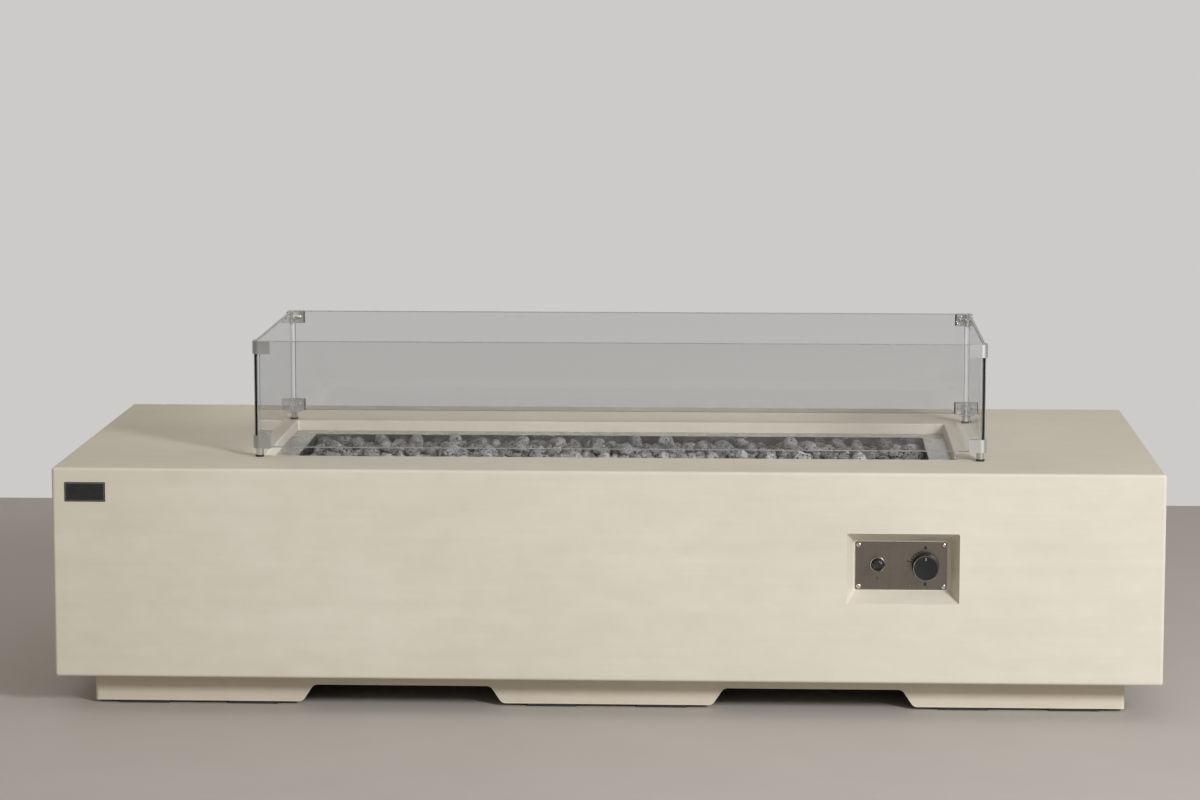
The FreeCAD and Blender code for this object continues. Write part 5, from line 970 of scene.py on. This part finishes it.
def dial_marks(finishes):
    """The dots round the dial, one of them further out, and a drop at its top and its foot."""
    dots = bmesh.new()
    places = [(degrees, DOTS_FROM_KNOB) for degrees in DOT_DEGREES]
    for degrees, distance in places + [(OUTER_DOT_DEGREES, OUTER_DOT_FROM_KNOB)]:
        turn = math.radians(degrees)
        place = on_plate(KNOB_MIDDLE.x + distance * math.cos(turn),
                         KNOB_MIDDLE.z + distance * math.sin(turn))
        bmesh.ops.create_circle(dots, cap_ends=True, segments=20, radius=DOT_RADIUS, matrix=place)
    print_in_ink(dots, "dial_dots", finishes)
    drops = bmesh.new()
    drop_shape(drops, KNOB_MIDDLE.x, KNOB_MIDDLE.z + DROPS_FROM_KNOB)
    drop_shape(drops, KNOB_MIDDLE.x, KNOB_MIDDLE.z - DROPS_FROM_KNOB)
    print_in_ink(drops, "dial_drops", finishes)


def spark_mark(finishes):
    """A small zigzag spark under the igniter."""
    mesh = bmesh.new()
    outline = [(0.0006, 0.0034), (-0.0014, -0.0002), (-0.0001, -0.0002), (-0.0008, -0.0034),
               (0.0014, 0.0008), (0.0001, 0.0008)]
    middle = IGNITER_MIDDLE.z - SPARK_BELOW_IGNITER
    corners = [mesh.verts.new((IGNITER_MIDDLE.x + across, PLATE_FRONT, middle + up))
               for across, up in outline]
    mesh.faces.new(corners)
    print_in_ink(mesh, "spark_mark", finishes)


def badge_border(finishes):
    """A thin raised line round the bare badge plate."""
    low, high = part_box("badge_plate")
    middle = (low + high) / 2
    width = high.x - low.x - 2 * BORDER_FROM_EDGE
    height = high.z - low.z - 2 * BORDER_FROM_EDGE
    mesh = bmesh.new()
    bmesh.ops.create_grid(mesh, x_segments=1, y_segments=1, size=0.5)
    bmesh.ops.rotate(mesh, verts=mesh.verts, cent=(0, 0, 0), matrix=Matrix.Rotation(math.pi / 2, 3, "X"))
    bmesh.ops.scale(mesh, verts=mesh.verts, vec=(width, 1.0, height))
    bmesh.ops.translate(mesh, verts=mesh.verts, vec=(middle.x, low.y, middle.z))
    ring = bmesh.ops.inset_region(mesh, faces=mesh.faces[:], thickness=BORDER_WIDTH, use_boundary=True)
    inside = [face for face in mesh.faces if face not in ring["faces"]]
    bmesh.ops.delete(mesh, geom=inside, context="FACES_ONLY")
    raise_print(mesh)
    finish_piece(mesh, "badge_border", "table", finishes["polished_stainless"],
                 smooth=False)


# Studio

def floor():
    """A plain pale floor that ends where the wall starts."""
    mesh = bmesh.new()
    bmesh.ops.create_grid(mesh, x_segments=1, y_segments=1, size=1.0)
    bmesh.ops.scale(mesh, verts=mesh.verts, vec=(FLOOR_HALF_WIDTH, FLOOR_HALF_DEPTH, 1.0))
    bmesh.ops.translate(mesh, verts=mesh.verts, vec=(0.0, FLOOR_BACK - FLOOR_HALF_DEPTH, 0.0))
    data = bpy.data.meshes.new("floor")
    mesh.to_mesh(data)
    mesh.free()
    piece = bpy.data.objects.new("floor", data)
    bpy.context.scene.collection.objects.link(piece)
    material, tree, surface = new_finish("pale_floor", Roughness=0.6, Specular_IOR_Level=0.3)
    clouds = clouds_of(tree, colour(0.50, 0.475, 0.445), colour(0.46, 0.435, 0.405), 1.0, 0.8)
    tree.links.new(clouds["Tone"], surface.inputs["Base Color"])
    data.materials.append(material)


def studio_world():
    """A pale wall all round, a darker room behind the camera for reflections, and an even fill.

    The room is darkest on the left and bright overhead. Only glossy rays see it.
    """
    world = bpy.data.worlds.new("studio")
    bpy.context.scene.world = world
    world.use_nodes = True
    tree = world.node_tree
    tree.nodes.clear()
    wall = colour(0.604, 0.597, 0.584)
    even_fill = colour(0.430, 0.398, 0.355)
    way = put(tree, "ShaderNodeTexCoord").outputs["Generated"]
    across, depth, up = put(tree, "ShaderNodeSeparateXYZ", {0: way}).outputs
    dim = blend_colours(tree, remap(tree, across, -0.5, 0.9, 0.0, 1.0), grey(0.05), grey(0.34))
    dim = blend_colours(tree, remap(tree, up, 0.3, 0.9, 0.0, 1.0), dim, grey(1.0))
    room = blend_colours(tree, remap(tree, depth, -0.35, 0.25, 0.0, 1.0), dim, wall)
    path = put(tree, "ShaderNodeLightPath").outputs
    seen = math_node(tree, "MAXIMUM", path["Is Camera Ray"], path["Is Transmission Ray"])
    unseen = blend_colours(tree, path["Is Glossy Ray"], even_fill, room)
    shown = blend_colours(tree, seen, unseen, wall)
    background = put(tree, "ShaderNodeBackground", {"Color": shown, "Strength": 1.0})
    output = tree.nodes.new("ShaderNodeOutputWorld")
    tree.links.new(background.outputs[0], output.inputs["Surface"])


def key_lamp():
    """One soft lamp, in front on the right."""
    data = bpy.data.lights.new("key_lamp", "AREA")
    data.shape = "RECTANGLE"
    data.size, data.size_y = LAMP_SIZE
    data.energy = LAMP_POWER
    data.color = LAMP_TINT
    lamp = bpy.data.objects.new("key_lamp", data)
    bpy.context.scene.collection.objects.link(lamp)
    lamp.location = LAMP_PLACE
    lamp.rotation_euler = (Vector(LAMP_TARGET) - Vector(LAMP_PLACE)).to_track_quat("-Z", "Y").to_euler()


def camera():
    """The photograph's viewpoint: low, in front, a little right of the middle."""
    data = bpy.data.cameras.new("camera")
    data.sensor_width = SENSOR_WIDTH
    data.lens = CAMERA_LENS
    data.clip_end = 100.0
    eye = bpy.data.objects.new("camera", data)
    bpy.context.scene.collection.objects.link(eye)
    eye.location = CAMERA_PLACE
    eye.rotation_euler = CAMERA_TURN
    bpy.context.scene.camera = eye


def studio():
    floor()
    studio_world()
    key_lamp()
    bpy.context.scene.view_settings.view_transform = "Standard"


finishes = make_finishes()
camera()
dress_nodes(finishes)
lava_stones(finishes)
glass_panes(finishes)
guard_and_plate_screws(finishes)
control_knob(finishes)
igniter(finishes)
coil_spring("valve_spring", "valve_return_spring", VALVE_WIRE_RADIUS, finishes)
coil_spring("igniter_spring", "igniter_return_spring", IGNITER_WIRE_RADIUS, finishes)
dial_marks(finishes)
spark_mark(finishes)
badge_border(finishes)
studio()
